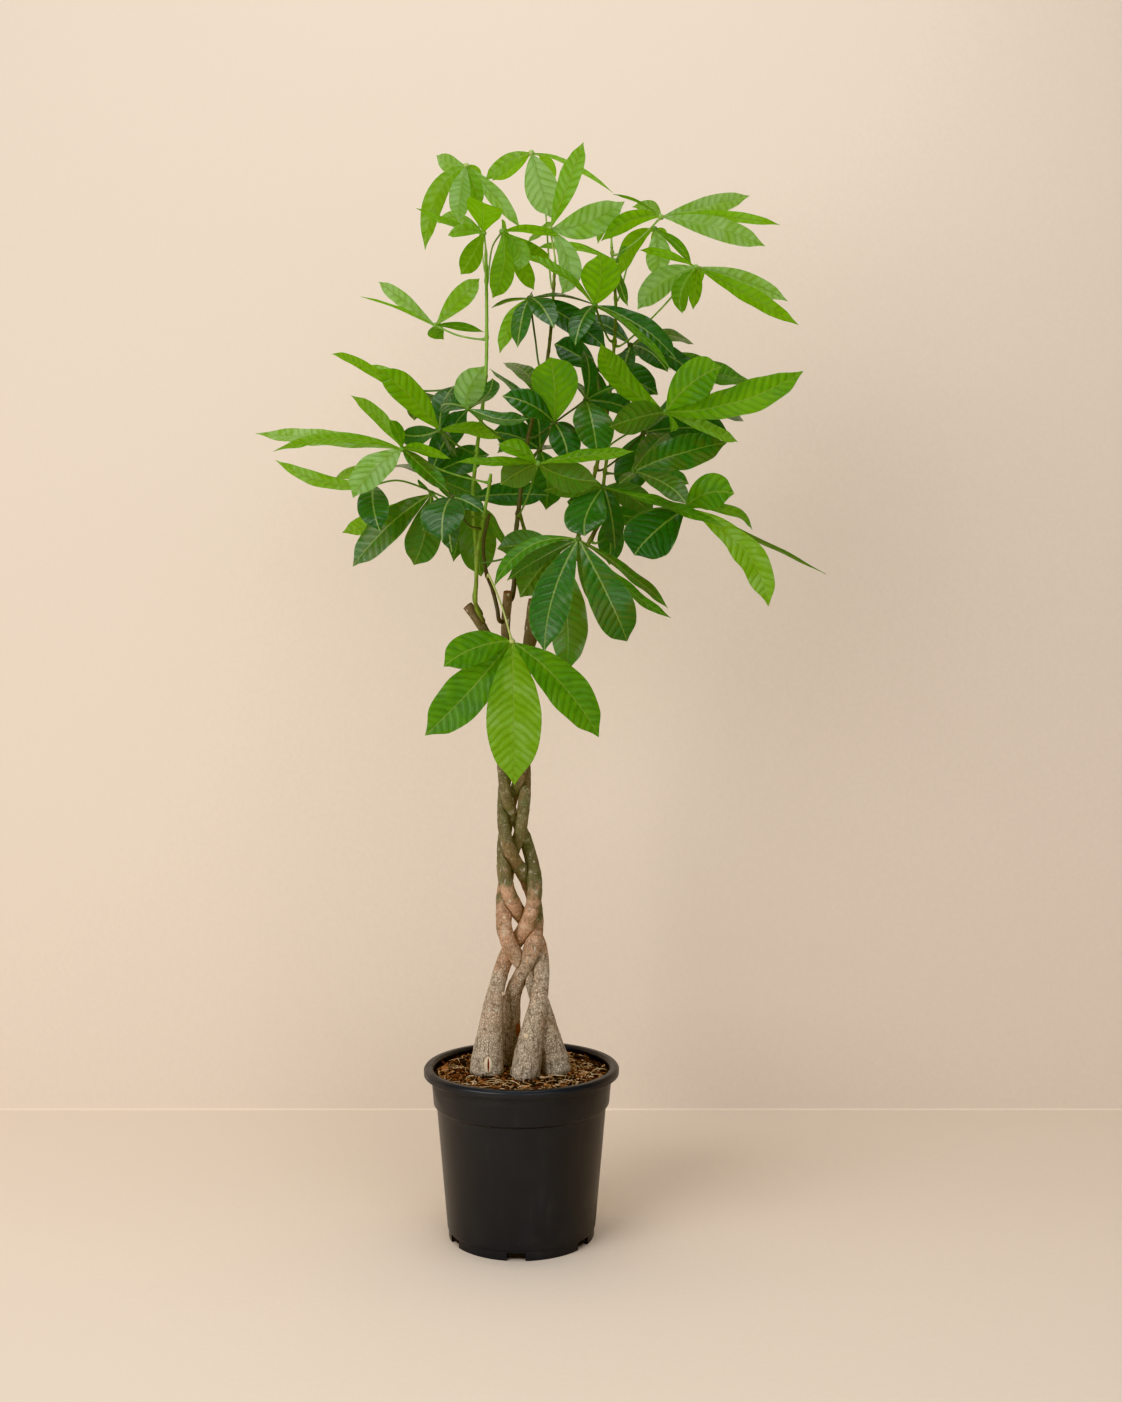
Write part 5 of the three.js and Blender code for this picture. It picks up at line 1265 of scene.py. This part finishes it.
            (130, 728, 108, 50, 15, 0.35, (116, 769, 154)),
            (184, 757, 84, 20, 55, 0.5, (125, 787, 100)),
            (180, 769, 52, 22, 50, 0.42, (147, 805, 50)),
            (122, 741, 60, 34, 158, 0.35, (84, 800, 64)),
        ],
    },
    "low_front": {
        "on": "middle_low", "start": 806, "hub": (-12, 728, 64), "by": (-24, 770, 50),
        "young": False,
        "stalk": 1.0,
        "leaflets": [
            (-96, 697, 84, 46, 25, 0.58, (-59, 728, 78)),
            (-119, 612, 62, 54, 12, 0.54, (-62, 665, 68)),
            # The middle leaflet's tone, 0.84, is raised above its neighbours' to paint the pale sheen on
            # it.
            (-9, 551, 72, 65, 5, 0.84, (-9, 650, 94)),
            (95, 610, 84, 50, 12, 0.58, (57, 682, 98)),
        ],
    },
    "hanging_middle": {
        "on": "right_low", "start": 800, "hub": (44, 838, 40),
        "young": False,
        "leaflets": [
            (56, 690, 44, 48, 165, 0.45, (62, 762, 44)),
            (-2, 782, 44, 44, 165, 0.38),
            (24, 846, -60, 28, 60, 0.35),
            (-30, 842, 10, 38, 160, 0.3),
        ],
    },
    "hanging_left": {
        "on": "left_tall", "start": 906, "hub": (-64, 905, -46),
        "young": False,
        "leaflets": [
            (-20, 842, -24, 24, 118, 0.5, (-30, 872, -22)),
            (-50, 808, -44, 50, 160, 0.4),
            (-84, 826, -84, 26, 160, 0.35),
            (-100, 868, -84, 28, 60, 0.35),
            (34, 908, -40, 36, 20, 0.2),
        ],
    },
    "far_left": {
        "on": "left_tall", "start": 900, "hub": (-112, 930, -80),
        "young": False,
        "leaflets": [
            (-66, 1014, -84, 42, 20, 0.12),
            (-40, 958, -78, 46, 25, 0.2),
            (-44, 902, -80, 40, 160, 0.3),
            (-160, 944, -150, 34, 60, 0.2),
            (-84, 926, -178, 34, 80, 0.2),
        ],
    },
    "far_middle": {
        "on": "back", "start": "tip", "hub": (22, 964, -92),
        "young": False,
        "leaflets": [
            (-36, 986, -92, 44, 25, 0.1),
            (6, 1040, -100, 40, 20, 0.14),
            (30, 890, -76, 46, 20, 0.3),
            (60, 950, -190, 34, 70, 0.2),
            (-30, 960, -180, 34, 80, 0.2),
        ],
    },
    "far_high_right": {
        "on": "right_tall", "start": 1020, "hub": (92, 1062, -84),
        "young": False,
        "leaflets": [
            (40, 1094, -84, 42, 20, 0.1),
            (168, 1032, -80, 50, 25, 0.15),
            (150, 1080, -180, 34, 70, 0.2),
            (60, 1070, -190, 34, 80, 0.2),
            (96, 990, -100, 36, 30, 0.2),
        ],
    },
    "far_right": {
        "on": "right_tall", "start": 946, "hub": (150, 985, -72),
        "young": False,
        "leaflets": [
            (256, 982, -84, 50, 25, 0.15),
            (236, 1040, -136, 38, 30, 0.25, (194, 1022, -124)),
            (124, 908, -84, 50, 20, 0.2),
            (190, 930, -170, 34, 70, 0.2),
            (140, 1000, -180, 34, 80, 0.2),
        ],
    },
    "far_low_right": {
        "on": "right_tall", "start": 846, "hub": (104, 884, -74),
        "young": False,
        "leaflets": [
            (56, 900, -112, 40, 20, 0.2),
            (176, 862, -84, 44, 25, 0.3),
            (108, 822, -84, 36, 20, 0.25),
            (180, 880, -160, 34, 70, 0.2),
            (70, 890, -176, 34, 80, 0.2),
        ],
    },
}

blade_veins, craft, given, handed = new_group(
    "blade veins", {"Blade": None, "Draw": 0.5}, ("Midrib", "Veins", "Threads", "Net", "Pucker"),
)
along = craft.part(given["Blade"], "X")
across = craft.part(given["Blade"], "Y")
off = craft.sum("ABSOLUTE", across)
wander = craft.cloud(craft.stretch(given["Blade"], (60.0, 60.0, 0.0)), 1.0, detail=1.0)
curl = craft.sum("MULTIPLY", craft.sum("MULTIPLY", off, off), VEIN_CURVE)
bend = craft.sum("ADD", craft.sum("MULTIPLY", off, VEIN_SLANT), curl)
start = craft.sum("DIVIDE", craft.sum("SUBTRACT", along, bend), VEIN_SPACING)
shift = craft.sum("MULTIPLY", craft.sum("SIGN", across), 0.22)
stray = craft.sum("ADD", given["Draw"], craft.sum("MULTIPLY", wander, 0.5))
phase = craft.sum("ADD", craft.sum("ADD", start, shift), stray)
from_vein = craft.sum("ABSOLUTE", craft.sum("SUBTRACT", craft.sum("FRACT", phase), 0.5))
craft.feed(handed["Veins"], craft.span(from_vein, 0.08, 0.02))
craft.feed(handed["Threads"], craft.span(from_vein, 0.04, 0.015))
craft.feed(handed["Pucker"], craft.span(from_vein, 0.0, 0.42))
rib = craft.sum("MULTIPLY", craft.span(along, 0.0, 0.16, 1.0, 0.4), 0.0011)
craft.feed(handed["Midrib"], craft.span(craft.sum("SUBTRACT", off, rib), 0.0004, 0.0))
net_cells = craft.cells(craft.stretch(given["Blade"], (1.0, 1.0, 0.0)), 330.0)
craft.feed(handed["Net"], craft.span(net_cells, 0.08, 0.0))

leaf_blade, craft, body = new_material("leaf_blade")
blade = craft.mark("blade", "Vector")
sort = craft.mark("sort", "Vector")
tone = craft.part(sort, "Z")
draw_value = craft.part(sort, "Y")
under = craft.mark("under")
veins = craft.group(blade_veins, Blade=blade, Draw=draw_value)
here = craft.place()
wear = craft.group(weathering, Place=here, Patch_Scale=38.0, Grain_Scale=1300.0, Cover=0.5)
mottle = craft.sum("MULTIPLY", craft.sum("SUBTRACT", wear["Patches"], 0.5), 0.1)
# Painted light and shade: the tone is raised a little on the puckers between the side veins and lowered
# beside the veins, as the quilting catches and loses the light.
lift = craft.sum("MULTIPLY", craft.sum("SUBTRACT", veins["Pucker"], 0.5), 0.03)
shade = craft.sum("ADD", tone, craft.sum("ADD", mottle, lift), clamp=True)
blade_tones = [
    (0.0, (0.006, 0.06, 0.004)), (0.2, (0.015, 0.1, 0.008)), (0.33, (0.03, 0.14, 0.013)),
    (0.4, (0.06, 0.13, 0.01)), (0.48, (0.05, 0.18, 0.014)), (0.58, (0.07, 0.24, 0.014)),
    (0.72, (0.12, 0.33, 0.004)), (0.86, (0.21, 0.46, 0.06)), (1.0, (0.42, 0.68, 0.26)),
]
flesh = craft.tones(shade, blade_tones)
margin = craft.span(craft.part(blade, "Z"), 0.93, 1.0, 0.0, 0.35)
rimmed = craft.blend(margin, flesh, (0.2, 0.36, 0.03, 1))
pale = craft.blend(0.35, (0.4, 0.54, 0.15, 1), flesh)
# Painted shadow: on the upper face the side veins are drawn as dark lines, the shade in their sunk grooves;
# on the underside they are pale, as raised veins are.
vein_shadow_and_pale = craft.blend(under, craft.blend(0.6, flesh, (0.008, 0.04, 0.002, 1)), pale)
vein_share = craft.span(tone, 0.35, 0.75, 0.6, 0.25)
sunk = craft.blend(craft.sum("MULTIPLY", veins["Veins"], vein_share), rimmed, vein_shadow_and_pale)
lined = craft.blend(craft.sum("MULTIPLY", veins["Threads"], 0.25), sunk, pale)
netted = craft.blend(craft.sum("MULTIPLY", veins["Net"], 0.12), lined, pale)
ribbed = craft.blend(craft.sum("MULTIPLY", veins["Midrib"], 0.92), netted, pale)
dull = craft.blend(craft.sum("MULTIPLY", under, 0.3), ribbed, (0.14, 0.27, 0.06, 1))
craft.feed(body.inputs["Base Color"], dull)
waxy = craft.span(wear["Patches"], 0.0, 1.0, 0.27, 0.4)
craft.feed(body.inputs["Roughness"], craft.sum("ADD", waxy, craft.sum("MULTIPLY", under, 0.2)))
body.inputs["Specular IOR Level"].default_value = 0.5
craft.feed(body.inputs["Coat Weight"], craft.span(tone, 0.62, 0.4, 0.08, 0.45))
body.inputs["Coat Roughness"].default_value = 0.2
ridge = craft.sum("MULTIPLY", veins["Midrib"], 1.2)
ridge = craft.sum("ADD", ridge, craft.sum("MULTIPLY", veins["Veins"], 0.8))
ridge = craft.sum("SUBTRACT", ridge, craft.sum("MULTIPLY", veins["Pucker"], 1.1))
ridge = craft.sum("ADD", ridge, craft.sum("MULTIPLY", veins["Net"], 0.25))
side_way = craft.sum("SUBTRACT", craft.sum("MULTIPLY", under, 2.0), 1.0)
ridge = craft.sum("MULTIPLY", ridge, side_way)
raised = craft.sum("ADD", ridge, craft.sum("MULTIPLY", wear["Grain"], 0.12))
surface = craft.relief(raised, 0.0011, 0.9)
craft.feed(body.inputs["Normal"], surface)
glow = craft.add("ShaderNodeBsdfTranslucent")
glow_tones = [
    (0.0, (0.01, 0.12, 0.003)), (0.33, (0.06, 0.27, 0.01)), (0.4, (0.13, 0.26, 0.008)),
    (0.48, (0.1, 0.35, 0.008)), (0.72, (0.25, 0.54, 0.003)), (0.86, (0.3, 0.6, 0.06)),
    (1.0, (0.38, 0.66, 0.2)),
]
craft.feed(glow.inputs["Color"], craft.tones(shade, glow_tones))
craft.feed(glow.inputs["Normal"], surface)
tissue = craft.add("ShaderNodeMixShader")
craft.feed(tissue.inputs[0], craft.span(tone, 0.1, 0.9, 0.18, 0.58))
craft.feed(tissue.inputs[1], body.outputs[0])
craft.feed(tissue.inputs[2], glow.outputs[0])
sheet = craft.add("ShaderNodeMixShader")
craft.feed(sheet.inputs[0], craft.add("ShaderNodeNewGeometry").outputs["Backfacing"])
craft.feed(sheet.inputs[1], tissue.outputs[0])
craft.feed(sheet.inputs[2], craft.add("ShaderNodeBsdfTransparent").outputs[0])
output = leaf_blade.node_tree.nodes["Material Output"]
craft.feed(output.inputs["Surface"], sheet.outputs[0])

leaf_stalk, craft, body = new_material("leaf_stalk")
tone = craft.mark("tone")
wear = craft.group(weathering, Place=craft.place(), Patch_Scale=90.0, Grain_Scale=1300.0, Cover=0.4)
worn = craft.sum("MULTIPLY", craft.sum("SUBTRACT", wear["Patches"], 0.5), 0.2)
shade = craft.sum("ADD", tone, worn, clamp=True)
stalk_tones = [
    (0.0, (0.05, 0.05, 0.014)), (0.35, (0.07, 0.15, 0.022)),
    (0.7, (0.17, 0.33, 0.05)), (1.0, (0.5, 0.52, 0.2)),
]
craft.feed(body.inputs["Base Color"], craft.tones(shade, stalk_tones))
craft.feed(body.inputs["Roughness"], craft.span(wear["Grain"], 0.3, 0.7, 0.38, 0.55))
craft.feed(body.inputs["Normal"], craft.relief(wear["Grain"], 0.0002, 0.6))


def unit(vector):
    return vector / np.linalg.norm(vector)


def upper_face(direction, turn):
    """Which way a leaflet's upper face looks: 0 degrees to the front, 90 edge on, 180 to the back."""
    front, up = np.array((0.0, -1.0, 0.0)), np.array((0.0, 0.0, 1.0))
    across = unit(np.cross(direction, front))
    facing = unit(np.cross(across, direction))
    if across.dot(up) < 0:
        across = -across
    angle = math.radians(turn)
    return facing * math.cos(angle) + across * math.sin(angle)


def stalk_path(shoot, start, hub, by):
    """The stalk's line from its shoot to the hub."""
    path = shoot_paths[shoot]
    if start == "tip":
        way = unit(path[-1] - path[-3])
        ends = [path[-1] - way * SEAT_SINK, path[-1] + way * STALK_TIP_RUN]
        return smooth_way([*ends, *by, hub], STALK_STEP)
    radii = shoot_radii[shoot]

    def radius_at(height):
        return radii[int(np.abs(path[:, 2] - height).argmin())]

    target = by[0] if by else hub
    seat, clear = side_seat(path, radius_at, start * MM, target, STALK_RADIUS * 1.6)
    sag = np.array((0, 0, -STALK_SAG * np.linalg.norm(hub - clear)))
    passed = by or [(clear + hub) / 2 + sag]
    return smooth_way([seat, clear, *passed, hub], STALK_STEP)


def stalk_skin(path):
    run = np.linspace(0, 1, len(path))
    length = STALK_STEP * len(path)
    at_foot = 0.75 * np.exp(-(run * length / (5 * MM)) ** 2)
    at_knob = 0.8 * np.exp(-((1 - run) * length / (7 * MM)) ** 2)
    return close_skin(tube_rings(path, STALK_RADIUS * (1 + at_foot + at_knob) * 0.92, STALK_SIDES))


def ball_skin(centre, way, radius):
    """A slightly flattened ball whose axis lies along way."""
    angles = np.linspace(-math.pi / 2, math.pi / 2, 9)[1:-1]
    first = unit(np.cross(way, (0.31, 0.2, 0.93)))
    second = np.cross(way, first)
    around = np.arange(14) / 14 * math.tau
    flat = np.outer(np.cos(around), first) + np.outer(np.sin(around), second)
    rings = []
    for angle in angles:
        middle = centre + way * radius * 0.85 * math.sin(angle)
        rings.append(middle + flat * radius * math.cos(angle))
    return close_skin(np.array(rings))


def blade_skin(hub, tip, width, upper, bow, draw):
    """One leaflet as a closed thin skin, with each point's run, side step and share of the half width."""
    length = np.linalg.norm(tip - hub)
    count = max(14, round(length / BLADE_STEP))
    run = np.linspace(KNOB_RADIUS * 0.5 / length, 1, count)[:, None]
    centre = (1 - run) ** 2 * hub + 2 * run * (1 - run) * bow + run ** 2 * tip
    along = 2 * (1 - run) * (bow - hub) + 2 * run * (tip - bow)
    along /= np.linalg.norm(along, axis=1, keepdims=True)
    side = np.cross(along, upper)
    side /= np.linalg.norm(side, axis=1, keepdims=True)
    normal = np.cross(side, along)
    twist = math.radians(draw.uniform(-11, 11)) * run
    turned_side = side * np.cos(twist) + normal * np.sin(twist)
    normal = normal * np.cos(twist) - side * np.sin(twist)
    side = turned_side

    shape = 3.644 * run ** 1.1 * np.clip(1 - run, 0, 1) ** 0.8
    point = np.clip((run - 0.84) / 0.16, 0, 1)
    shape *= 1 - 0.5 * point ** 2 * (3 - 2 * point)
    rib = RIB_HALF_WIDTH * (1 - 0.75 * run)
    half = np.maximum(width / 2 * shape, rib)
    spot = np.linspace(-1, 1, BLADE_ACROSS + 1)
    spot = (np.sign(spot) * np.abs(spot) ** 1.35)[None]
    off = np.abs(spot)
    fold = draw.uniform(0.14, 0.3) * (1 - 0.45 * run)
    lift = half * fold * (np.sqrt(off ** 2 + 0.006) - 0.077 - 0.28 * off ** 4)
    for way in (-1, 1):
        pitch, phase = draw.uniform(36, 60) * MM, draw.uniform(0, math.tau)
        sway = draw.uniform(0.035, 0.1) * half * off ** 2 * (np.sign(spot) == way)
        lift = lift + sway * np.sin(run * length / pitch * math.tau + phase)
    swell = draw.uniform(0.008, 0.02) * length * run * (1 - run)
    lift = lift + swell * np.sin(run * length / (70 * MM) * math.tau + draw.uniform(0, math.tau))

    x, y = run * length * np.ones_like(spot), half * spot
    start = (x - np.abs(y) * VEIN_SLANT - y ** 2 * VEIN_CURVE) / VEIN_SPACING
    pick = draw.random()
    from_vein = np.abs((start + np.sign(y) * 0.22 + pick + 0.25) % 1 - 0.5)
    between_veins = np.sin(np.clip(from_vein, 0, 0.5) * math.pi) ** 0.8
    pucker = PUCKER_RISE * np.clip(half / (18 * MM), 0, 1) * between_veins
    lift = lift + pucker * np.clip(off * 5, 0, 1) * (1 - off ** 6)

    thick = BLADE_THICKNESS * (1 - 0.55 * off ** 3) * np.clip(half / (3 * MM), 0.6, 1)
    keel = 1.5 * rib * np.exp(-(y / (1.3 * rib)) ** 2)
    spread = centre[:, None] + side[:, None] * y[..., None]
    top = spread + normal[:, None] * (lift + thick / 2)[..., None]
    low = spread + normal[:, None] * (lift - thick / 2 - keel)[..., None]
    rings = np.concatenate([top, low[:, ::-1]], axis=1)
    marks = np.stack([x, y, off * np.ones_like(x)], axis=2)
    marks = np.concatenate([marks, marks[:, ::-1]], axis=1).reshape(-1, 3)
    under = np.concatenate([np.zeros_like(x), np.ones_like(x)], axis=1).ravel()
    points, faces = close_skin(rings)
    return points, faces, marks, under, (length, pick)


def add_leaf(name, shoot, start, hub, by, young, leaflets, stalk_tone):
    """leaflets: tip, width, upper face, bow or None, tone."""
    draw = random.Random(name)
    path = stalk_path(shoot, start, hub, by)
    way = unit(path[-3] - hub)
    points, faces, which, blade, sort, under, tones = [], [], [], [], [], [], []
    for skin_points, skin_faces in (stalk_skin(path), ball_skin(hub, -way, KNOB_RADIUS)):
        faces += [tuple(corner + len(points) for corner in face) for face in skin_faces]
        points += skin_points.tolist()
        which += [1] * len(skin_faces)
    blade += [(0, 0, 0)] * len(points)
    sort += [(0, 0, 0)] * len(points)
    under += [0] * len(points)
    tones += [stalk_tone] * len(points)
    for tip, width, upper, bow, tone in leaflets:
        length = np.linalg.norm(tip - hub)
        if bow is None:
            bow = (hub + tip) / 2 + upper * BLADE_ARCH * length - way * BLADE_SPREAD * length
        skin = blade_skin(hub, tip, width, upper, bow, draw)
        faces += [tuple(corner + len(points) for corner in face) for face in skin[1]]
        points += skin[0].tolist()
        which += [0] * len(skin[1])
        blade += skin[2].tolist()
        sort += [(*skin[4], tone)] * len(skin[0])
        under += skin[3].tolist()
        tones += [stalk_tone] * len(skin[0])
    make_piece(
        f"{name}_leaf", points, faces, [leaf_blade, leaf_stalk], "young_leaf" if young else "old_leaf",
        f"leaf_{name}", sharp=75, face_material=which,
        marks={"blade": blade, "sort": sort, "under": under, "tone": tones},
    )


for name, leaf in LEAVES.items():
    hub = seen(*leaf["hub"])
    leaflets = []
    for across, up, near, width, turn, tone, *bow in leaf["leaflets"]:
        tip = seen(across, up, near)
        upper = upper_face(unit(tip - hub), turn)
        leaflets.append((tip, width * MM, upper, seen(*bow[0]) if bow else None, tone))
    by = [seen(*leaf["by"])] if leaf.get("by") else []
    middle_tone = sum(leaflet[5] for leaflet in leaf["leaflets"]) / len(leaflets)
    stalk_tone = leaf.get("stalk", middle_tone)
    add_leaf(name, leaf["on"], leaf["start"], hub, by, leaf.get("young", False), leaflets, stalk_tone)


# ----------------------------------------------------------------------------------------------- room
# The tree stands on a plain pale floor in front of a plain pale wall. A broad soft light comes from the
# left in front, a second one from above shines down through the leaves, and a neutral one from the
# right in front lifts the shadows and puts a sheen on the blades that face it.

WALL_DISTANCE = 0.511
EYE = (0.0485, -1.71, 0.6545)
LENS = 35.64

painted, craft, body = new_material("pale_paint")
grain = craft.cloud(craft.place(), 160.0, detail=2.0)
wall_paint = craft.blend(grain, (0.71, 0.61, 0.51, 1), (0.76, 0.655, 0.55, 1))
floor_paint = craft.blend(grain, (0.86, 0.745, 0.625, 1), (0.9, 0.785, 0.665, 1))
on_wall = craft.span(craft.part(craft.place(), "Z"), 0.001, 0.004)
craft.feed(body.inputs["Base Color"], craft.blend(on_wall, floor_paint, wall_paint))
body.inputs["Roughness"].default_value = 0.85
one_side = craft.add("ShaderNodeMixShader")
craft.feed(one_side.inputs[0], craft.add("ShaderNodeNewGeometry").outputs["Backfacing"])
craft.feed(one_side.inputs[1], body.outputs[0])
craft.feed(one_side.inputs[2], craft.add("ShaderNodeBsdfTransparent").outputs[0])
craft.feed(painted.node_tree.nodes["Material Output"].inputs["Surface"], one_side.outputs[0])


def room_face(name, corners):
    mesh = bpy.data.meshes.new(name)
    mesh.from_pydata(corners, [], [(0, 1, 2, 3)])
    mesh.materials.append(painted)
    face = bpy.data.objects.new(name, mesh)
    bpy.context.scene.collection.objects.link(face)


room_face("floor", [(-5, -5, 0), (5, -5, 0), (5, WALL_DISTANCE, 0), (-5, WALL_DISTANCE, 0)])
at_wall = [(-5, 0), (5, 0), (5, 4), (-5, 4)]
room_face("wall", [(across, WALL_DISTANCE, up) for across, up in at_wall])


def soft_light(name, place, aim, size, power, colour):
    lamp = bpy.data.lights.new(name, "AREA")
    lamp.shape = "RECTANGLE"
    lamp.size, lamp.size_y = size
    lamp.energy = power
    lamp.color = colour
    holder = bpy.data.objects.new(name, lamp)
    holder.location = place
    holder.rotation_euler = (Vector(aim) - Vector(place)).to_track_quat("-Z", "Y").to_euler()
    bpy.context.scene.collection.objects.link(holder)


soft_light("window", (-1.9, -2.1, 1.3), (-0.1, 0.0, 0.55), (2.0, 1.9), 55, (1.0, 0.98, 0.95))
soft_light("ceiling", (0.0, -0.35, 2.4), (0.0, -0.15, 0.0), (1.6, 0.8), 14, (1.0, 0.985, 0.96))
soft_light("far_window", (1.1, -3.0, 1.1), (0.1, 0.0, 0.2), (2.4, 1.8), 32, (1.0, 1.0, 1.0))

world = bpy.data.worlds.new("room_fill")
world.use_nodes = True
world.node_tree.nodes["Background"].inputs["Color"].default_value = (0.96, 0.96, 1.0, 1)
world.node_tree.nodes["Background"].inputs["Strength"].default_value = 0.24
bpy.context.scene.world = world
bpy.context.scene.view_settings.view_transform = "Khronos PBR Neutral"

lens = bpy.data.cameras.new("eye")
lens.lens = LENS
lens.sensor_width = 36
lens.clip_start = 0.05
eye = bpy.data.objects.new("eye", lens)
eye.location = EYE
eye.rotation_euler = (math.pi / 2, 0, 0)
bpy.context.scene.collection.objects.link(eye)
bpy.context.scene.camera = eye
